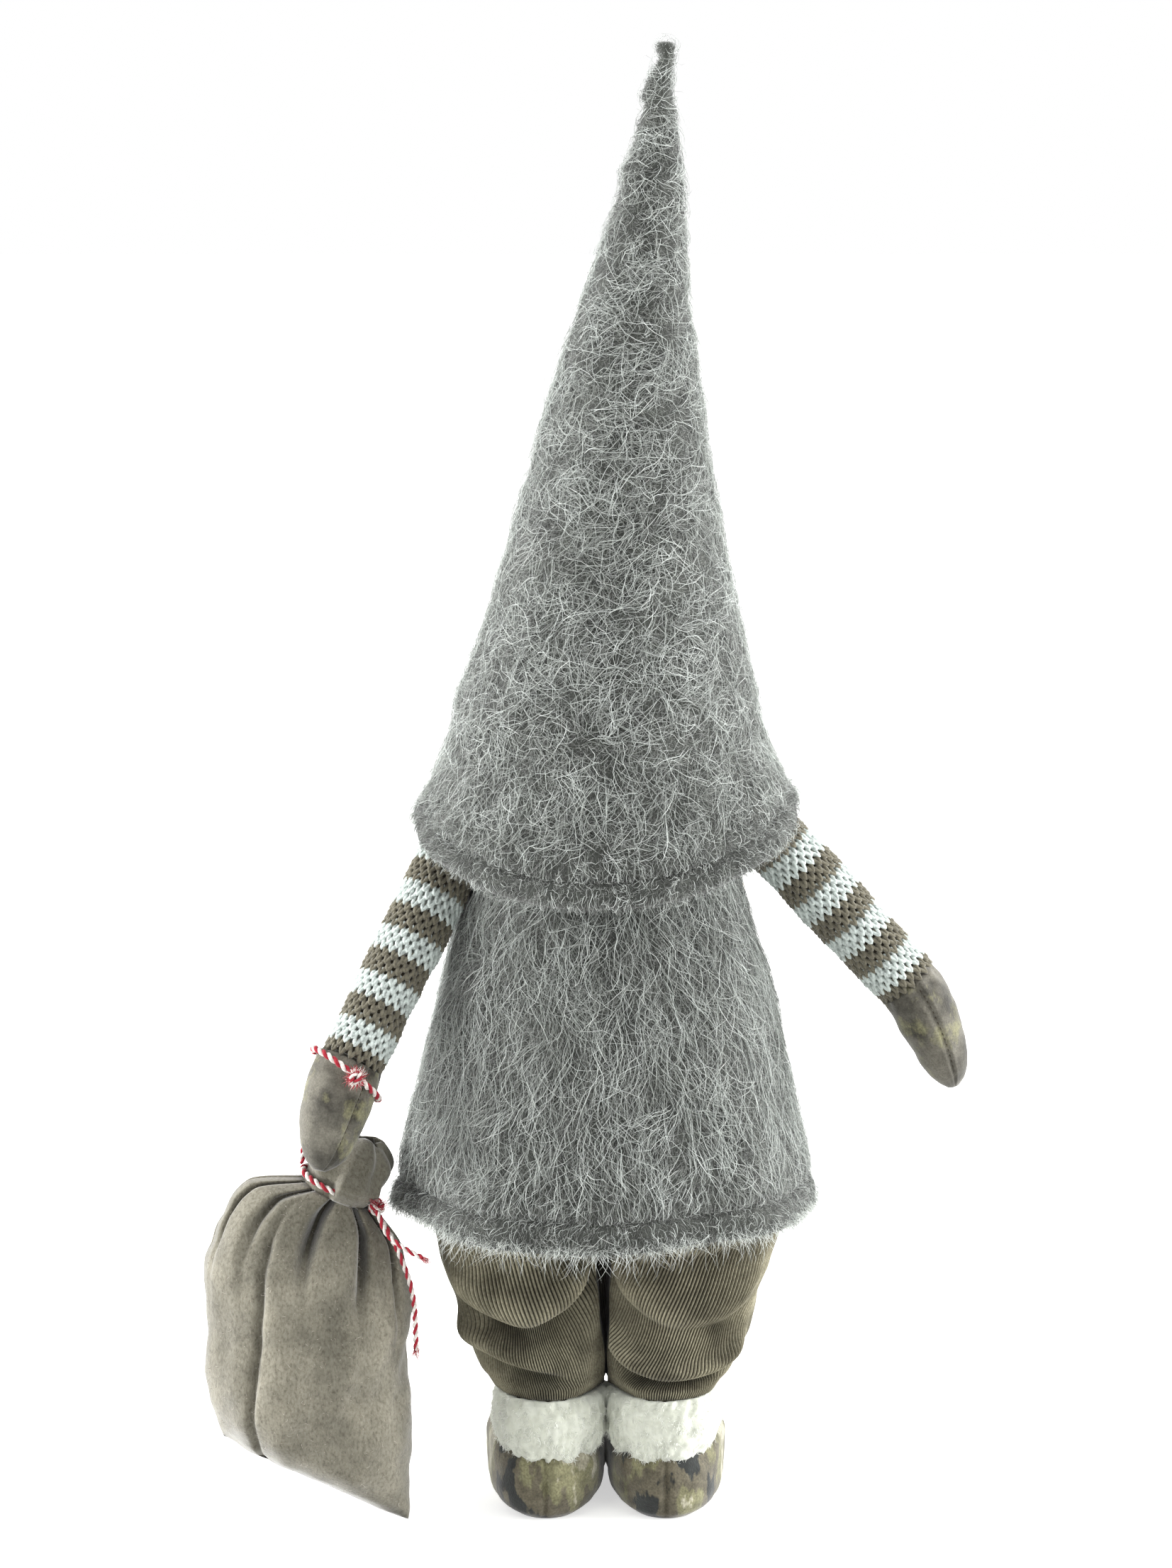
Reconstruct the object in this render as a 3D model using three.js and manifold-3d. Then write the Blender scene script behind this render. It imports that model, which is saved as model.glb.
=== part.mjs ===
// Standing gnome figure: stuffed body, pile hat and coat, wired arms and a felt sack on twine.
// Millimetres, +Z up. The figure faces -Y and its left hand, which carries the sack, is at +X.
import * as THREE from 'three';
import Module from 'manifold-3d';

const wasm = await Module();
wasm.setup();

// Fits
const seatGap = 0.35; // between pieces that touch
const swingGap = 0.6; // round a sleeve that turns in its armhole

// Cloth thicknesses
const pileCloth = 3;
const brimRoll = 5;
const corduroy = 2;
const knit = 1.8;
const velvet = 2.4;
const felt = 2;

// Boots
const bootWidth = 41.5;
const bootSpacing = 1.4;
const heelReach = 29.5;
const toeReach = 57;
const bootHeight = 47;
const bootRound = 5;
const ankleWidth = 29;
const ankleBack = 23;
const ankleFront = 14;
const insoleThickness = 1.6;
const weightHeight = 13;

// Boot cuffs
const cuffThickness = 5.2;
const cuffRound = 4;
const cuffLowBack = 20.5;
const cuffFrontRise = 11;
const ankleTuck = 3; // ankle standing up into the trouser leg

// Trousers
const legLength = 74;
const trouserWidth = 61; // widest part of one leg
const trouserDepth = 60;
const trouserEase = 1.4; // slack of the trouser hem round the ankle
const legSpacing = 1.6;
const seatHeight = 22;
const seatWidth = 124;
const seatDepth = 100;

// Coat
const coatLength = 147;
const hemRadius = 76;
const coatDepthShare = 0.88;
const hemOverlap = 7; // coat hem below the top of the legs

// Head and hat
const headHeight = 72;
const hatTall = 226.5; // straight cone above the brim zone
const hatConeRadius = 53.5;
const brimZone = 33; // brim zone above its mean edge
const brimRadius = 69.4;
const brimDepthShare = 0.9;
const brimSideRoll = 3.75; // edge lower over the left arm than over the right arm
const brimBackDrop = 26.5;
const brimFrontRise = 9;
const hatLean = 19.8;

// Nose and beard
const noseRadius = 15;
const noseDepth = 16;
const beardLength = 122;
const beardWidth = 92;
const beardThickness = 13;

// Arms
const sleeveRadius = 11.8;
const sleeveLength = 91; // left arm
const rightSleeveShorter = 3;
const mittenLength = 41;
const mittenRadius = 12;
const mittenFlat = 0.86; // depth of the left mitten against its width
const rightMittenRadius = 10.7;
const rightMittenFlat = 1.04;
const mittenPlug = 6;
const wireRadius = 1;
const wireIntoMitten = 13;
const leftShoulder = { inFromHem: 26, belowNeck: 12 };
const rightShoulder = { inFromHem: 29, belowNeck: 3 };
const leftWristOut = 13; // left wrist outside the coat hem
const leftWristBack = 32;
const rightArmAngle = 42.8;
const rightArmBack = -2;
const leftRaise = 34;
const rightRaise = 17;
const rightLower = 16;

// Twine
const twineRadius = 1.25;
const tailRadius = 1;
const knotRadius = 3.6;
const hitchRadius = 2.3;
const loopTilt = 12; // wrist loop against the square of the arm
const loopSlack = 1.1;
const loopPastSleeve = 4.8;
const hitchTurn = 60; // hitch round the loop, from its outer end toward the front

// Sack, measured from the middle of its tied neck
const neckRadius = 12.2;
const neckDepth = 10.6;
const neckLength = 4.6;
const neckBore = 3.2;
const neckBelowWrist = 48.6;
const neckOutOfWrist = 5.8;
const neckForward = 15; // neck in front of the wrist
const sackTilt = 24;
const sackWidth = 81;
const sackDepth = 55;
const sackDrop = 106; // neck to the bottom seam
const frillHeight = 15.5;
const fillingSlack = 0.8; // sack filling inside the felt

// Facets round the body, the limbs and the twine
const facets = { body: 26, limb: 14, twine: 6, sack: 20, beard: 9 };

const radians = THREE.MathUtils.degToRad;
const lerp = THREE.MathUtils.lerp;
const up = new THREE.Vector3(0, 0, 1);
const back = new THREE.Vector3(0, 1, 0);

// Smooth value through knots of [place, value], flat at each local peak so that it never overshoots
function through(knots, place) {
  const last = knots.length - 1;
  if (place <= knots[0][0]) return knots[0][1];
  if (place >= knots[last][0]) return knots[last][1];
  const slopes = [];
  for (let i = 0; i < last; i += 1) {
    slopes.push((knots[i + 1][1] - knots[i][1]) / (knots[i + 1][0] - knots[i][0]));
  }
  const tangent = (i) => {
    if (i === 0) return slopes[0];
    if (i === last) return slopes[last - 1];
    if (slopes[i - 1] * slopes[i] <= 0) return 0;
    return (2 * slopes[i - 1] * slopes[i]) / (slopes[i - 1] + slopes[i]);
  };
  let i = 0;
  while (place > knots[i + 1][0]) i += 1;
  const span = knots[i + 1][0] - knots[i][0];
  const t = (place - knots[i][0]) / span;
  const rise = (3 - 2 * t) * t * t;
  const lead = t * (1 - t) * (1 - t) * span * tangent(i);
  const tail = t * t * (t - 1) * span * tangent(i + 1);
  return knots[i][1] + rise * (knots[i + 1][1] - knots[i][1]) + lead + tail;
}

// Ring of points round a centre, on two unit directions
function ring(count, centre, across, along, acrossRadius, alongRadius, wave = () => 1) {
  const points = [];
  for (let i = 0; i < count; i += 1) {
    const angle = (2 * Math.PI * i) / count;
    const swell = wave(angle);
    points.push(
      centre
        .clone()
        .addScaledVector(across, acrossRadius * swell * Math.cos(angle))
        .addScaledVector(along, alongRadius * swell * Math.sin(angle)),
    );
  }
  return points;
}

// Level ring in plan
function levelRing(count, x, y, z, halfWidth, halfDepth, wave) {
  const side = new THREE.Vector3(1, 0, 0);
  return ring(count, new THREE.Vector3(x, y, z), side, back, halfWidth, halfDepth, wave);
}

// Closed solid through a row of rings; the row ends in flat caps, or runs back to its first ring
function loft(rings, closed = false) {
  const count = rings[0].length;
  const positions = [];
  const index = [];
  rings.forEach((points) => points.forEach((point) => positions.push(point.x, point.y, point.z)));
  const rows = closed ? rings.length : rings.length - 1;
  for (let row = 0; row < rows; row += 1) {
    const here = row * count;
    const next = ((row + 1) % rings.length) * count;
    for (let i = 0; i < count; i += 1) {
      const j = (i + 1) % count;
      index.push(here + i, here + j, next + j, here + i, next + j, next + i);
    }
  }
  if (!closed) {
    const cap = (start, points, turned) => {
      const middle = new THREE.Vector3();
      points.forEach((point) => middle.addScaledVector(point, 1 / count));
      const centre = positions.length / 3;
      positions.push(middle.x, middle.y, middle.z);
      for (let i = 0; i < count; i += 1) {
        const j = (i + 1) % count;
        if (turned) index.push(centre, start + j, start + i);
        else index.push(centre, start + i, start + j);
      }
    };
    cap(0, rings[0], true);
    cap((rings.length - 1) * count, rings[rings.length - 1], false);
  }
  const geometry = new THREE.BufferGeometry();
  geometry.setAttribute('position', new THREE.Float32BufferAttribute(positions, 3));
  geometry.setIndex(index);
  if (volumeOf(geometry) < 0) turnFaces(geometry);
  return geometry;
}

function volumeOf(geometry) {
  const position = geometry.getAttribute('position');
  const index = geometry.getIndex();
  const a = new THREE.Vector3();
  const b = new THREE.Vector3();
  const c = new THREE.Vector3();
  let sum = 0;
  for (let i = 0; i < index.count; i += 3) {
    a.fromBufferAttribute(position, index.getX(i));
    b.fromBufferAttribute(position, index.getX(i + 1));
    c.fromBufferAttribute(position, index.getX(i + 2));
    sum += a.dot(b.cross(c)) / 6;
  }
  return sum;
}

function turnFaces(geometry) {
  const index = geometry.getIndex();
  for (let i = 0; i < index.count; i += 3) {
    const second = index.getX(i + 1);
    index.setX(i + 1, index.getX(i + 2));
    index.setX(i + 2, second);
  }
}

function solidOf(geometry) {
  const mesh = new wasm.Mesh({
    numProp: 3,
    vertProperties: new Float32Array(geometry.getAttribute('position').array),
    triVerts: new Uint32Array(geometry.getIndex().array),
  });
  return new wasm.Manifold(mesh);
}

function geometryOf(solid) {
  const mesh = solid.getMesh();
  const geometry = new THREE.BufferGeometry();
  geometry.setAttribute('position', new THREE.Float32BufferAttribute(mesh.vertProperties, 3));
  geometry.setIndex(Array.from(mesh.triVerts));
  return geometry;
}

// Cuts tools out of a piece
function cut(geometry, tools) {
  let solid = solidOf(geometry);
  tools.forEach((tool) => {
    solid = solid.subtract(solidOf(tool));
  });
  return geometryOf(solid);
}

// Levels of the whole figure, from the floor up
const bootAxis = (bootWidth + bootSpacing) / 2;
const cuffTop = bootHeight - ankleTuck;
const legBottom = cuffTop + seatGap;
const legTop = legBottom + legLength;
const seatBottom = legTop + seatGap;
const torsoBottom = seatBottom + seatHeight + seatGap;
const coatHem = legTop - hemOverlap;
const coatTop = coatHem + coatLength;
const headBottom = coatTop + seatGap;

// Boot outline at a share of its height, grown outward by a distance
const bootShape = {
  heel: [[0, 0], [0.36, 0], [0.46, 0.3], [0.58, 0.85], [0.7, 1], [1, 1]],
  toe: [[0, 0], [0.38, 0.03], [0.52, 0.14], [0.66, 0.45], [0.78, 0.82], [0.88, 1], [1, 1]],
  round: [[0, 1], [0.06, 0.3], [0.2, 0], [1, 0]],
};

function bootRing(side, share, grow, height = share * bootHeight) {
  const heelTurn = through(bootShape.heel, share);
  const toeTurn = through(bootShape.toe, share);
  const inset = bootRound * through(bootShape.round, share) - grow;
  const heel = lerp(heelReach, ankleBack, heelTurn) - inset;
  const toe = lerp(toeReach, ankleFront, toeTurn) - inset;
  const turn = (heelTurn + toeTurn) / 2;
  const halfWidth = lerp(bootWidth, ankleWidth, turn) / 2 - inset;
  const squarer = (angle) => 1 + 0.05 * (1 - turn) * Math.sin(2 * angle) ** 2;
  const middle = (heel - toe) / 2;
  const halfLength = (heel + toe) / 2;
  return levelRing(facets.limb, side * bootAxis, middle, height, halfWidth, halfLength, squarer);
}

const bootShares = [0, 0.06, 0.2, 0.38, 0.48, 0.58, 0.68, 0.78, 0.88, 1];

function boot(side) {
  const outer = bootShares.map((share) => bootRing(side, share, 0));
  const floorShare = velvet / bootHeight;
  const inner = bootShares
    .filter((share) => share > floorShare)
    .map((share) => bootRing(side, share, -velvet));
  inner.unshift(bootRing(side, floorShare, -velvet));
  return loft([...outer, ...inner.reverse()]);
}

function bootEnvelope(side, grow) {
  const rings = bootShares.map((share) => bootRing(side, share, grow));
  const raised = bootRing(side, 1, grow, bootHeight + bootRound);
  return loft([...rings, raised]);
}

function insole(side) {
  const low = velvet + seatGap;
  const inward = -velvet - 2 * seatGap;
  const share = velvet / bootHeight;
  return loft([
    bootRing(side, share, inward, low),
    bootRing(side, share, inward, low + insoleThickness),
  ]);
}

const weightBottom = velvet + insoleThickness + 2 * seatGap;
const weightTop = weightBottom + weightHeight;

function bootWeight(side) {
  const inward = -velvet - 3 * seatGap;
  const rings = [0, 0.15, 0.5, 0.85, 1].map((t) => {
    const height = lerp(weightBottom, weightTop, t);
    const bulge = 3.5 * (2 * t - 1) ** 4;
    return bootRing(side, velvet / bootHeight, inward - bulge + 1.2 * (1 - (2 * t - 1) ** 2), height);
  });
  return loft(rings);
}

// Fleece ring round the ankle, lower at the back, shaped to the boot under it
const cuffMiddle = (ankleBack - ankleFront) / 2;
const cuffHalfWidth = ankleWidth / 2 + cuffThickness;
const cuffHalfDepth = (ankleBack + ankleFront) / 2 + cuffThickness;

function cuff(side) {
  const rings = [0, 0.2, 0.5, 0.8, 1].map((t) => {
    const inset = cuffRound * Math.abs(2 * t - 1) ** 3;
    const halfWidth = cuffHalfWidth - inset;
    const halfDepth = cuffHalfDepth - inset;
    const points = levelRing(facets.limb, side * bootAxis, cuffMiddle, 0, halfWidth, halfDepth);
    points.forEach((point) => {
      const forward = (1 - (point.y - cuffMiddle) / cuffHalfDepth) / 2;
      point.z = lerp(cuffLowBack + cuffFrontRise * forward, cuffTop, t);
    });
    return points;
  });
  return cut(loft(rings), [bootEnvelope(side, seatGap)]);
}

// One trouser leg: half width and half depth by share of its length
const hemHalfWidth = ankleWidth / 2 + seatGap + corduroy + trouserEase;
const hemHalfDepth = (ankleBack + ankleFront) / 2 + seatGap + corduroy;
const legSwell = [
  [0, 0], [0.09, 0.3], [0.2, 0.46], [0.27, 0.56], [0.45, 0.7], [0.62, 0.88], [0.85, 1], [1, 0.9],
];

function legRing(side, share, grow, height = lerp(legBottom, legTop, share)) {
  const swell = through(legSwell, share);
  const halfWidth = lerp(hemHalfWidth, trouserWidth / 2, swell);
  const halfDepth = lerp(hemHalfDepth, trouserDepth / 2, swell);
  const outward = Math.max(bootAxis, legSpacing / 2 + halfWidth);
  const middle = lerp(cuffMiddle, 0, share);
  return levelRing(facets.limb, side * outward, middle, height, halfWidth + grow, halfDepth + grow);
}

const legShares = [0, 0.05, 0.12, 0.2, 0.3, 0.45, 0.62, 0.85, 1];

function trouserLeg(side) {
  const outer = legShares.map((share) => legRing(side, share, 0));
  const inner = legShares.map((share) => legRing(side, share, -corduroy));
  return loft([...outer, ...inner.reverse()], true);
}

function legFilling(side) {
  const bottom = weightTop + seatGap;
  const columnWidth = ankleWidth / 2 - velvet - seatGap;
  const columnDepth = (ankleBack + ankleFront) / 2 - velvet - seatGap;
  const column = (height, size) => levelRing(
    facets.limb, side * bootAxis, cuffMiddle, height, size * columnWidth, size * columnDepth,
  );
  const free = (bootHeight + 2 * seatGap - legBottom) / legLength;
  const upper = legShares
    .filter((share) => share > free)
    .map((share) => legRing(side, share, -corduroy - seatGap));
  return loft([column(bottom, 0.7), column(0.72 * bootHeight, 0.76), column(bootHeight, 0.97), ...upper]);
}

// Seat of the trousers, between the legs and the torso
function trouserSeat() {
  const shares = [[0, 0.95, 0.6], [0.25, 1, 0.82], [0.75, 1, 1], [1, 0.97, 0.97]];
  const rings = shares.map(([t, wide, deep]) => {
    const height = seatBottom + t * seatHeight;
    return levelRing(facets.body, 0, 0, height, (wide * seatWidth) / 2, (deep * seatDepth) / 2);
  });
  return loft(rings);
}

// Coat: radius by share of its length from the hem
const coatFlare = [
  [0, 1], [0.16, 0.934], [0.34, 0.857], [0.52, 0.783], [0.7, 0.69], [0.8, 0.645], [0.88, 0.605],
  [0.95, 0.53], [1, 0.43],
];

function coatRing(height, inward) {
  const radius = hemRadius * through(coatFlare, (height - coatHem) / coatLength);
  return levelRing(facets.body, 0, 0, height, radius - inward, coatDepthShare * radius - inward);
}

const coatShares = [0, 0.16, 0.34, 0.52, 0.7, 0.82, 0.9, 0.96, 1];

function coatShell() {
  const heights = coatShares.map((share) => coatHem + share * coatLength);
  const outer = heights.map((height) => coatRing(height, 0));
  const inner = heights.map((height) => coatRing(height, pileCloth));
  return loft([...outer, ...inner.reverse()], true);
}

function coatEnvelope(grow) {
  const rings = coatShares.map((share) => coatRing(coatHem + share * coatLength, -grow));
  return loft(rings);
}

function torsoForm() {
  const inward = pileCloth + seatGap;
  const heights = coatShares
    .map((share) => coatHem + share * coatLength)
    .filter((z) => z > torsoBottom + 4);
  const low = coatRing(torsoBottom, inward + 3);
  const lowSide = coatRing(torsoBottom + 3, inward);
  return loft([low, lowSide, ...heights.map((height) => coatRing(height, inward))]);
}

// Arms: shoulder pivots, directions and the hands' bend
const leftPivot = new THREE.Vector3(
  hemRadius - leftShoulder.inFromHem, 0, coatTop - leftShoulder.belowNeck,
);
const rightPivot = new THREE.Vector3(
  rightShoulder.inFromHem - hemRadius, 0, coatTop - rightShoulder.belowNeck,
);
const leftReach = hemRadius + leftWristOut - leftPivot.x;
const leftDrop = Math.sqrt(sleeveLength ** 2 - leftReach ** 2 - leftWristBack ** 2);
const rightLength = sleeveLength - rightSleeveShorter;
const rightSpread = Math.sqrt(rightLength ** 2 - rightArmBack ** 2);
const arms = {
  left: {
    pivot: leftPivot,
    along: new THREE.Vector3(leftReach, leftWristBack, -leftDrop).normalize(),
    length: sleeveLength,
    handRadius: mittenRadius,
    handFlat: mittenFlat,
    handBend: new THREE.Vector3(-7, 0, -1),
    turns: [0, -leftRaise / 2, -leftRaise],
  },
  right: {
    pivot: rightPivot,
    along: new THREE.Vector3(
      -rightSpread * Math.sin(radians(rightArmAngle)),
      rightArmBack,
      -rightSpread * Math.cos(radians(rightArmAngle)),
    ).normalize(),
    length: rightLength,
    handRadius: rightMittenRadius,
    handFlat: rightMittenFlat,
    handBend: new THREE.Vector3(10.7, 0, -8.2),
    turns: [-rightLower, 0, rightRaise / 2, rightRaise],
  },
};

// Unit directions square to a limb: one level and across the figure, one from front to back
function squareTo(along) {
  const across = new THREE.Vector3().crossVectors(back, along).normalize();
  const depth = new THREE.Vector3().crossVectors(along, across).normalize();
  return { across, depth };
}

function limbRing(count, centre, along, halfWidth, halfDepth) {
  const { across, depth } = squareTo(along);
  return ring(count, centre, across, depth, halfWidth, halfDepth);
}

const shoulderAngles = [82, 58, 30, 0].map(radians);
const sleeveSwell = [[0, 1], [0.5, 1], [0.8, 0.99], [1, 0.97]];
const sleeveShares = [0.3, 0.6, 0.85, 1];

// Sleeve surface from the round shoulder down to a length, drawn in by a distance
function sleeveRings(arm, inward, length = arm.length) {
  const radius = sleeveRadius - inward;
  const rings = shoulderAngles.map((angle) => {
    const centre = arm.pivot.clone().addScaledVector(arm.along, -radius * Math.sin(angle));
    return limbRing(facets.limb, centre, arm.along, radius * Math.cos(angle), radius * Math.cos(angle));
  });
  sleeveShares.forEach((share) => {
    const centre = arm.pivot.clone().addScaledVector(arm.along, share * length);
    const size = sleeveRadius * through(sleeveSwell, (share * length) / arm.length) - inward;
    rings.push(limbRing(facets.limb, centre, arm.along, size, size));
  });
  return rings;
}

function sleeve(arm) {
  return loft([...sleeveRings(arm, 0), ...sleeveRings(arm, knit).reverse()]);
}

const fillingStop = mittenPlug + seatGap; // short of the sleeve's end
const wireBore = wireRadius + seatGap;
const wireStart = sleeveRadius / 4;

function armFilling(arm) {
  const bore = (distance) => limbRing(
    facets.limb, arm.pivot.clone().addScaledVector(arm.along, distance), arm.along, wireBore, wireBore,
  );
  const length = arm.length - fillingStop;
  return loft([...sleeveRings(arm, knit + seatGap, length), bore(length), bore(wireStart - seatGap)]);
}

function armWire(arm) {
  const at = (distance) => limbRing(
    8, arm.pivot.clone().addScaledVector(arm.along, distance), arm.along, wireRadius, wireRadius,
  );
  return loft([at(wireStart), at(arm.length + wireIntoMitten)]);
}

// Middle of the hand at a distance past the wrist; the hand bends away from the sleeve's line
function handMiddle(arm, distance) {
  const share = Math.max(0, distance / mittenLength);
  return arm.pivot.clone()
    .addScaledVector(arm.along, arm.length + distance)
    .addScaledVector(arm.handBend, share ** 1.4);
}

const mittenSwell = [
  [0, 0.95], [0.12, 0.97], [0.3, 1], [0.5, 0.96], [0.7, 0.84], [0.85, 0.66], [0.94, 0.45], [1, 0.2],
];

const mittenShares = [0.14, 0.35, 0.55, 0.7, 0.82, 0.9, 0.96, 1];

function mittenRing(arm, distance, grow) {
  const middle = handMiddle(arm, distance);
  const along = handMiddle(arm, distance + 0.5).sub(handMiddle(arm, distance - 0.5)).normalize();
  const size = arm.handRadius * through(mittenSwell, distance / mittenLength);
  return limbRing(facets.limb, middle, along, size + grow, arm.handFlat * size + grow);
}

function mitten(arm) {
  const straight = (distance, halfWidth, halfDepth) => {
    const centre = arm.pivot.clone().addScaledVector(arm.along, arm.length + distance);
    return limbRing(facets.limb, centre, arm.along, halfWidth, halfDepth);
  };
  const plugRadius = sleeveRadius * through(sleeveSwell, 1) - knit - seatGap;
  const plugDepth = Math.min(1, arm.handFlat) * plugRadius;
  const bore = (distance) => straight(distance, wireBore, wireBore);
  return loft([
    bore(wireIntoMitten + seatGap),
    bore(-mittenPlug),
    straight(-mittenPlug, 0.9 * plugRadius, 0.9 * plugDepth),
    straight(seatGap, plugRadius, plugDepth),
    straight(2 * seatGap, 0.95 * arm.handRadius, 0.95 * arm.handFlat * arm.handRadius),
    ...mittenShares.map((share) => mittenRing(arm, share * mittenLength, 0)),
  ]);
}

function mittenEnvelope(arm, grow) {
  return loft(mittenShares.map((share) => mittenRing(arm, share * mittenLength, grow)));
}

// Space that a sleeve needs at each turn of its shoulder
function sleeveSpaces(arm) {
  return arm.turns.map((turn) => {
    const rings = sleeveRings(arm, -swingGap);
    const space = loft([...rings.slice(0, shoulderAngles.length), rings.at(-1)]);
    space.translate(-arm.pivot.x, -arm.pivot.y, -arm.pivot.z);
    space.rotateY(radians(turn));
    space.translate(arm.pivot.x, arm.pivot.y, arm.pivot.z);
    return space;
  });
}

const leftSpaces = sleeveSpaces(arms.left);
const rightSpaces = sleeveSpaces(arms.right);

// Hat: a brim zone with a drooping edge, then a leaning cone
const brimLevel = coatTop - 1;
const coneBottom = brimLevel + brimZone;
const brimSwell = [[0, 0.975], [0.05, 1], [0.16, 0.985], [0.32, 0.93], [0.5, 0.87], [0.75, 0.805]];
const coneTaper = [
  [0, 1], [0.163, 0.81], [0.384, 0.58], [0.6, 0.378], [0.812, 0.194], [0.918, 0.1], [0.965, 0.063],
  [1, 0.058],
];
const coneLean = [[0, 0], [0.163, 0.12], [0.384, 0.25], [0.6, 0.47], [0.812, 0.82], [0.918, 0.91], [1, 1]];

function brimEdge(angle) {
  const behind = Math.sin(angle);
  const droop = behind > 0 ? -brimBackDrop * behind ** 1.3 : brimFrontRise * (-behind) ** 1.3;
  return brimLevel - brimSideRoll * Math.cos(angle) + droop;
}

// Half width of the hat inside the brim zone, the share running from the edge up to the cone
function brimHalf(share) {
  const knots = [...brimSwell.map(([t, r]) => [t, r * brimRadius]), [1, hatConeRadius]];
  return through(knots, share);
}

function brimRing(share, inward) {
  const halfWidth = brimHalf(share) - inward;
  const deep = lerp(brimDepthShare, 1, share);
  const points = levelRing(facets.body, 0, 0, 0, halfWidth, deep * brimHalf(share) - inward);
  points.forEach((point, i) => {
    point.z = lerp(brimEdge((2 * Math.PI * i) / points.length), coneBottom, share);
  });
  return points;
}

function coneRing(share, inward, height = coneBottom + share * hatTall) {
  const radius = hatConeRadius * through(coneTaper, share) - inward;
  return levelRing(facets.body, -hatLean * through(coneLean, share), 0, height, radius, radius);
}

const brimShares = [0, 0.05, 0.18, 0.42, 0.72];
const coneShares = [0, 0.09, 0.2, 0.33, 0.47, 0.61, 0.74, 0.84, 0.9, 0.94, 0.97, 1];
const hollowShares = [0, 0.2, 0.47, 0.61, 0.8];

function hat() {
  const outer = [
    ...brimShares.map((share) => brimRing(share, 0)),
    ...coneShares.map((share) => coneRing(share, 0)),
  ];
  const innerCone = hollowShares.map((share) => coneRing(share, pileCloth));
  const innerBrim = brimShares.map(
    (share) => brimRing(share, lerp(brimRoll, pileCloth, Math.min(1, share / 0.3))),
  );
  const inner = [...innerBrim, ...innerCone].reverse();
  return cut(loft([...inner, ...outer]), [...leftSpaces, ...rightSpaces]);
}

// Head, filling the hat's lower cone, and the filling above it
const headTop = headBottom + headHeight;
const fillInward = pileCloth + seatGap;

function head() {
  const coneShare = (height) => (height - coneBottom) / hatTall;
  const chin = [[0, 0.5], [0.08, 0.76], [0.2, 0.9]].map(([t, share]) => {
    const radius = share * (hatConeRadius - fillInward);
    return levelRing(facets.body, 0, 0, headBottom + t * headHeight, radius, 0.94 * radius);
  });
  const crown = [[0, 0], [0.4, 0], [0.75, 0], [0.93, 2.5], [1, 9]].map(([t, inset]) => {
    return coneRing(coneShare(lerp(coneBottom, headTop, t)), fillInward + inset);
  });
  return cut(loft([...chin, ...crown]), [...leftSpaces, ...rightSpaces]);
}

function hatFilling() {
  const start = (headTop + seatGap - coneBottom) / hatTall;
  const shares = hollowShares.filter((share) => share > start + 0.03);
  const rings = shares.map((share) => coneRing(share, fillInward));
  const low = coneRing(start, fillInward + 9);
  const lowSide = coneRing(start + 0.025, fillInward + 1);
  const top = coneRing(hollowShares.at(-1), fillInward);
  rings.push(top.map((point) => point.clone().addScaledVector(up, -2)));
  return loft([low, lowSide, ...rings]);
}

// Nose, seated on the coat under the raised front of the brim
const noseLevel = brimLevel + brimFrontRise - noseRadius - 1.2;
const noseForward = coatDepthShare * hemRadius * through(coatFlare, (noseLevel - coatHem) / coatLength)
  + noseDepth - 2.5;

function noseForm(grow) {
  const rings = [78, 52, 26, 0, -26, -52, -78].map((angle) => {
    const size = Math.cos(radians(angle));
    const height = noseLevel + (noseRadius + grow) * Math.sin(radians(angle));
    return levelRing(18, 0, -noseForward, height, size * (noseRadius + grow), size * (noseDepth + grow));
  });
  return loft(rings);
}

// Beard: a tapering panel of pile that lies on the coat's front
const beardTop = coatTop - seatGap;
const beardSpread = [[0, 0.86], [0.18, 1], [0.4, 0.93], [0.65, 0.68], [0.85, 0.38], [1, 0.1]];
const beardSwell = [[0, 0.8], [0.12, 1], [0.5, 1], [0.8, 0.75], [1, 0.3]];

function beardRing(share) {
  const height = beardTop - share * beardLength;
  const radius = hemRadius * through(coatFlare, (height - coatHem) / coatLength) + seatGap;
  const thick = beardThickness * through(beardSwell, share);
  const halfSpread = (through(beardSpread, share) * beardWidth) / 2;
  const reach = Math.asin(Math.min(0.98, halfSpread / (radius + thick)));
  const points = [];
  const at = (angle, out) => new THREE.Vector3(
    (radius + out) * Math.sin(angle), -(coatDepthShare * radius + out) * Math.cos(angle), height,
  );
  const half = facets.beard;
  for (let i = 0; i < half; i += 1) {
    points.push(at(lerp(-reach, reach, i / (half - 1)), -4));
  }
  for (let i = 0; i < half; i += 1) {
    const t = lerp(1, -1, i / (half - 1));
    points.push(at(reach * t, 1 + (thick - 1) * Math.sqrt(1 - 0.96 * t * t)));
  }
  return points;
}

function beard() {
  const rings = [0, 0.06, 0.15, 0.28, 0.42, 0.56, 0.7, 0.82, 0.92, 1].map(beardRing);
  return cut(loft(rings), [coatEnvelope(seatGap), noseForm(seatGap), ...leftSpaces, ...rightSpaces]);
}

// Oval loop of twine
function twineLoop(centre, across, depth, halfWidth, halfDepth, radius, steps) {
  const normal = new THREE.Vector3().crossVectors(across, depth).normalize();
  const rings = [];
  for (let i = 0; i < steps; i += 1) {
    const angle = (2 * Math.PI * i) / steps;
    const out = across.clone().multiplyScalar(halfDepth * Math.cos(angle));
    out.addScaledVector(depth, halfWidth * Math.sin(angle)).normalize();
    const middle = centre.clone()
      .addScaledVector(across, halfWidth * Math.cos(angle))
      .addScaledVector(depth, halfDepth * Math.sin(angle));
    rings.push(ring(facets.twine, middle, out, normal, radius, radius));
  }
  return loft(rings, true);
}

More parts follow.
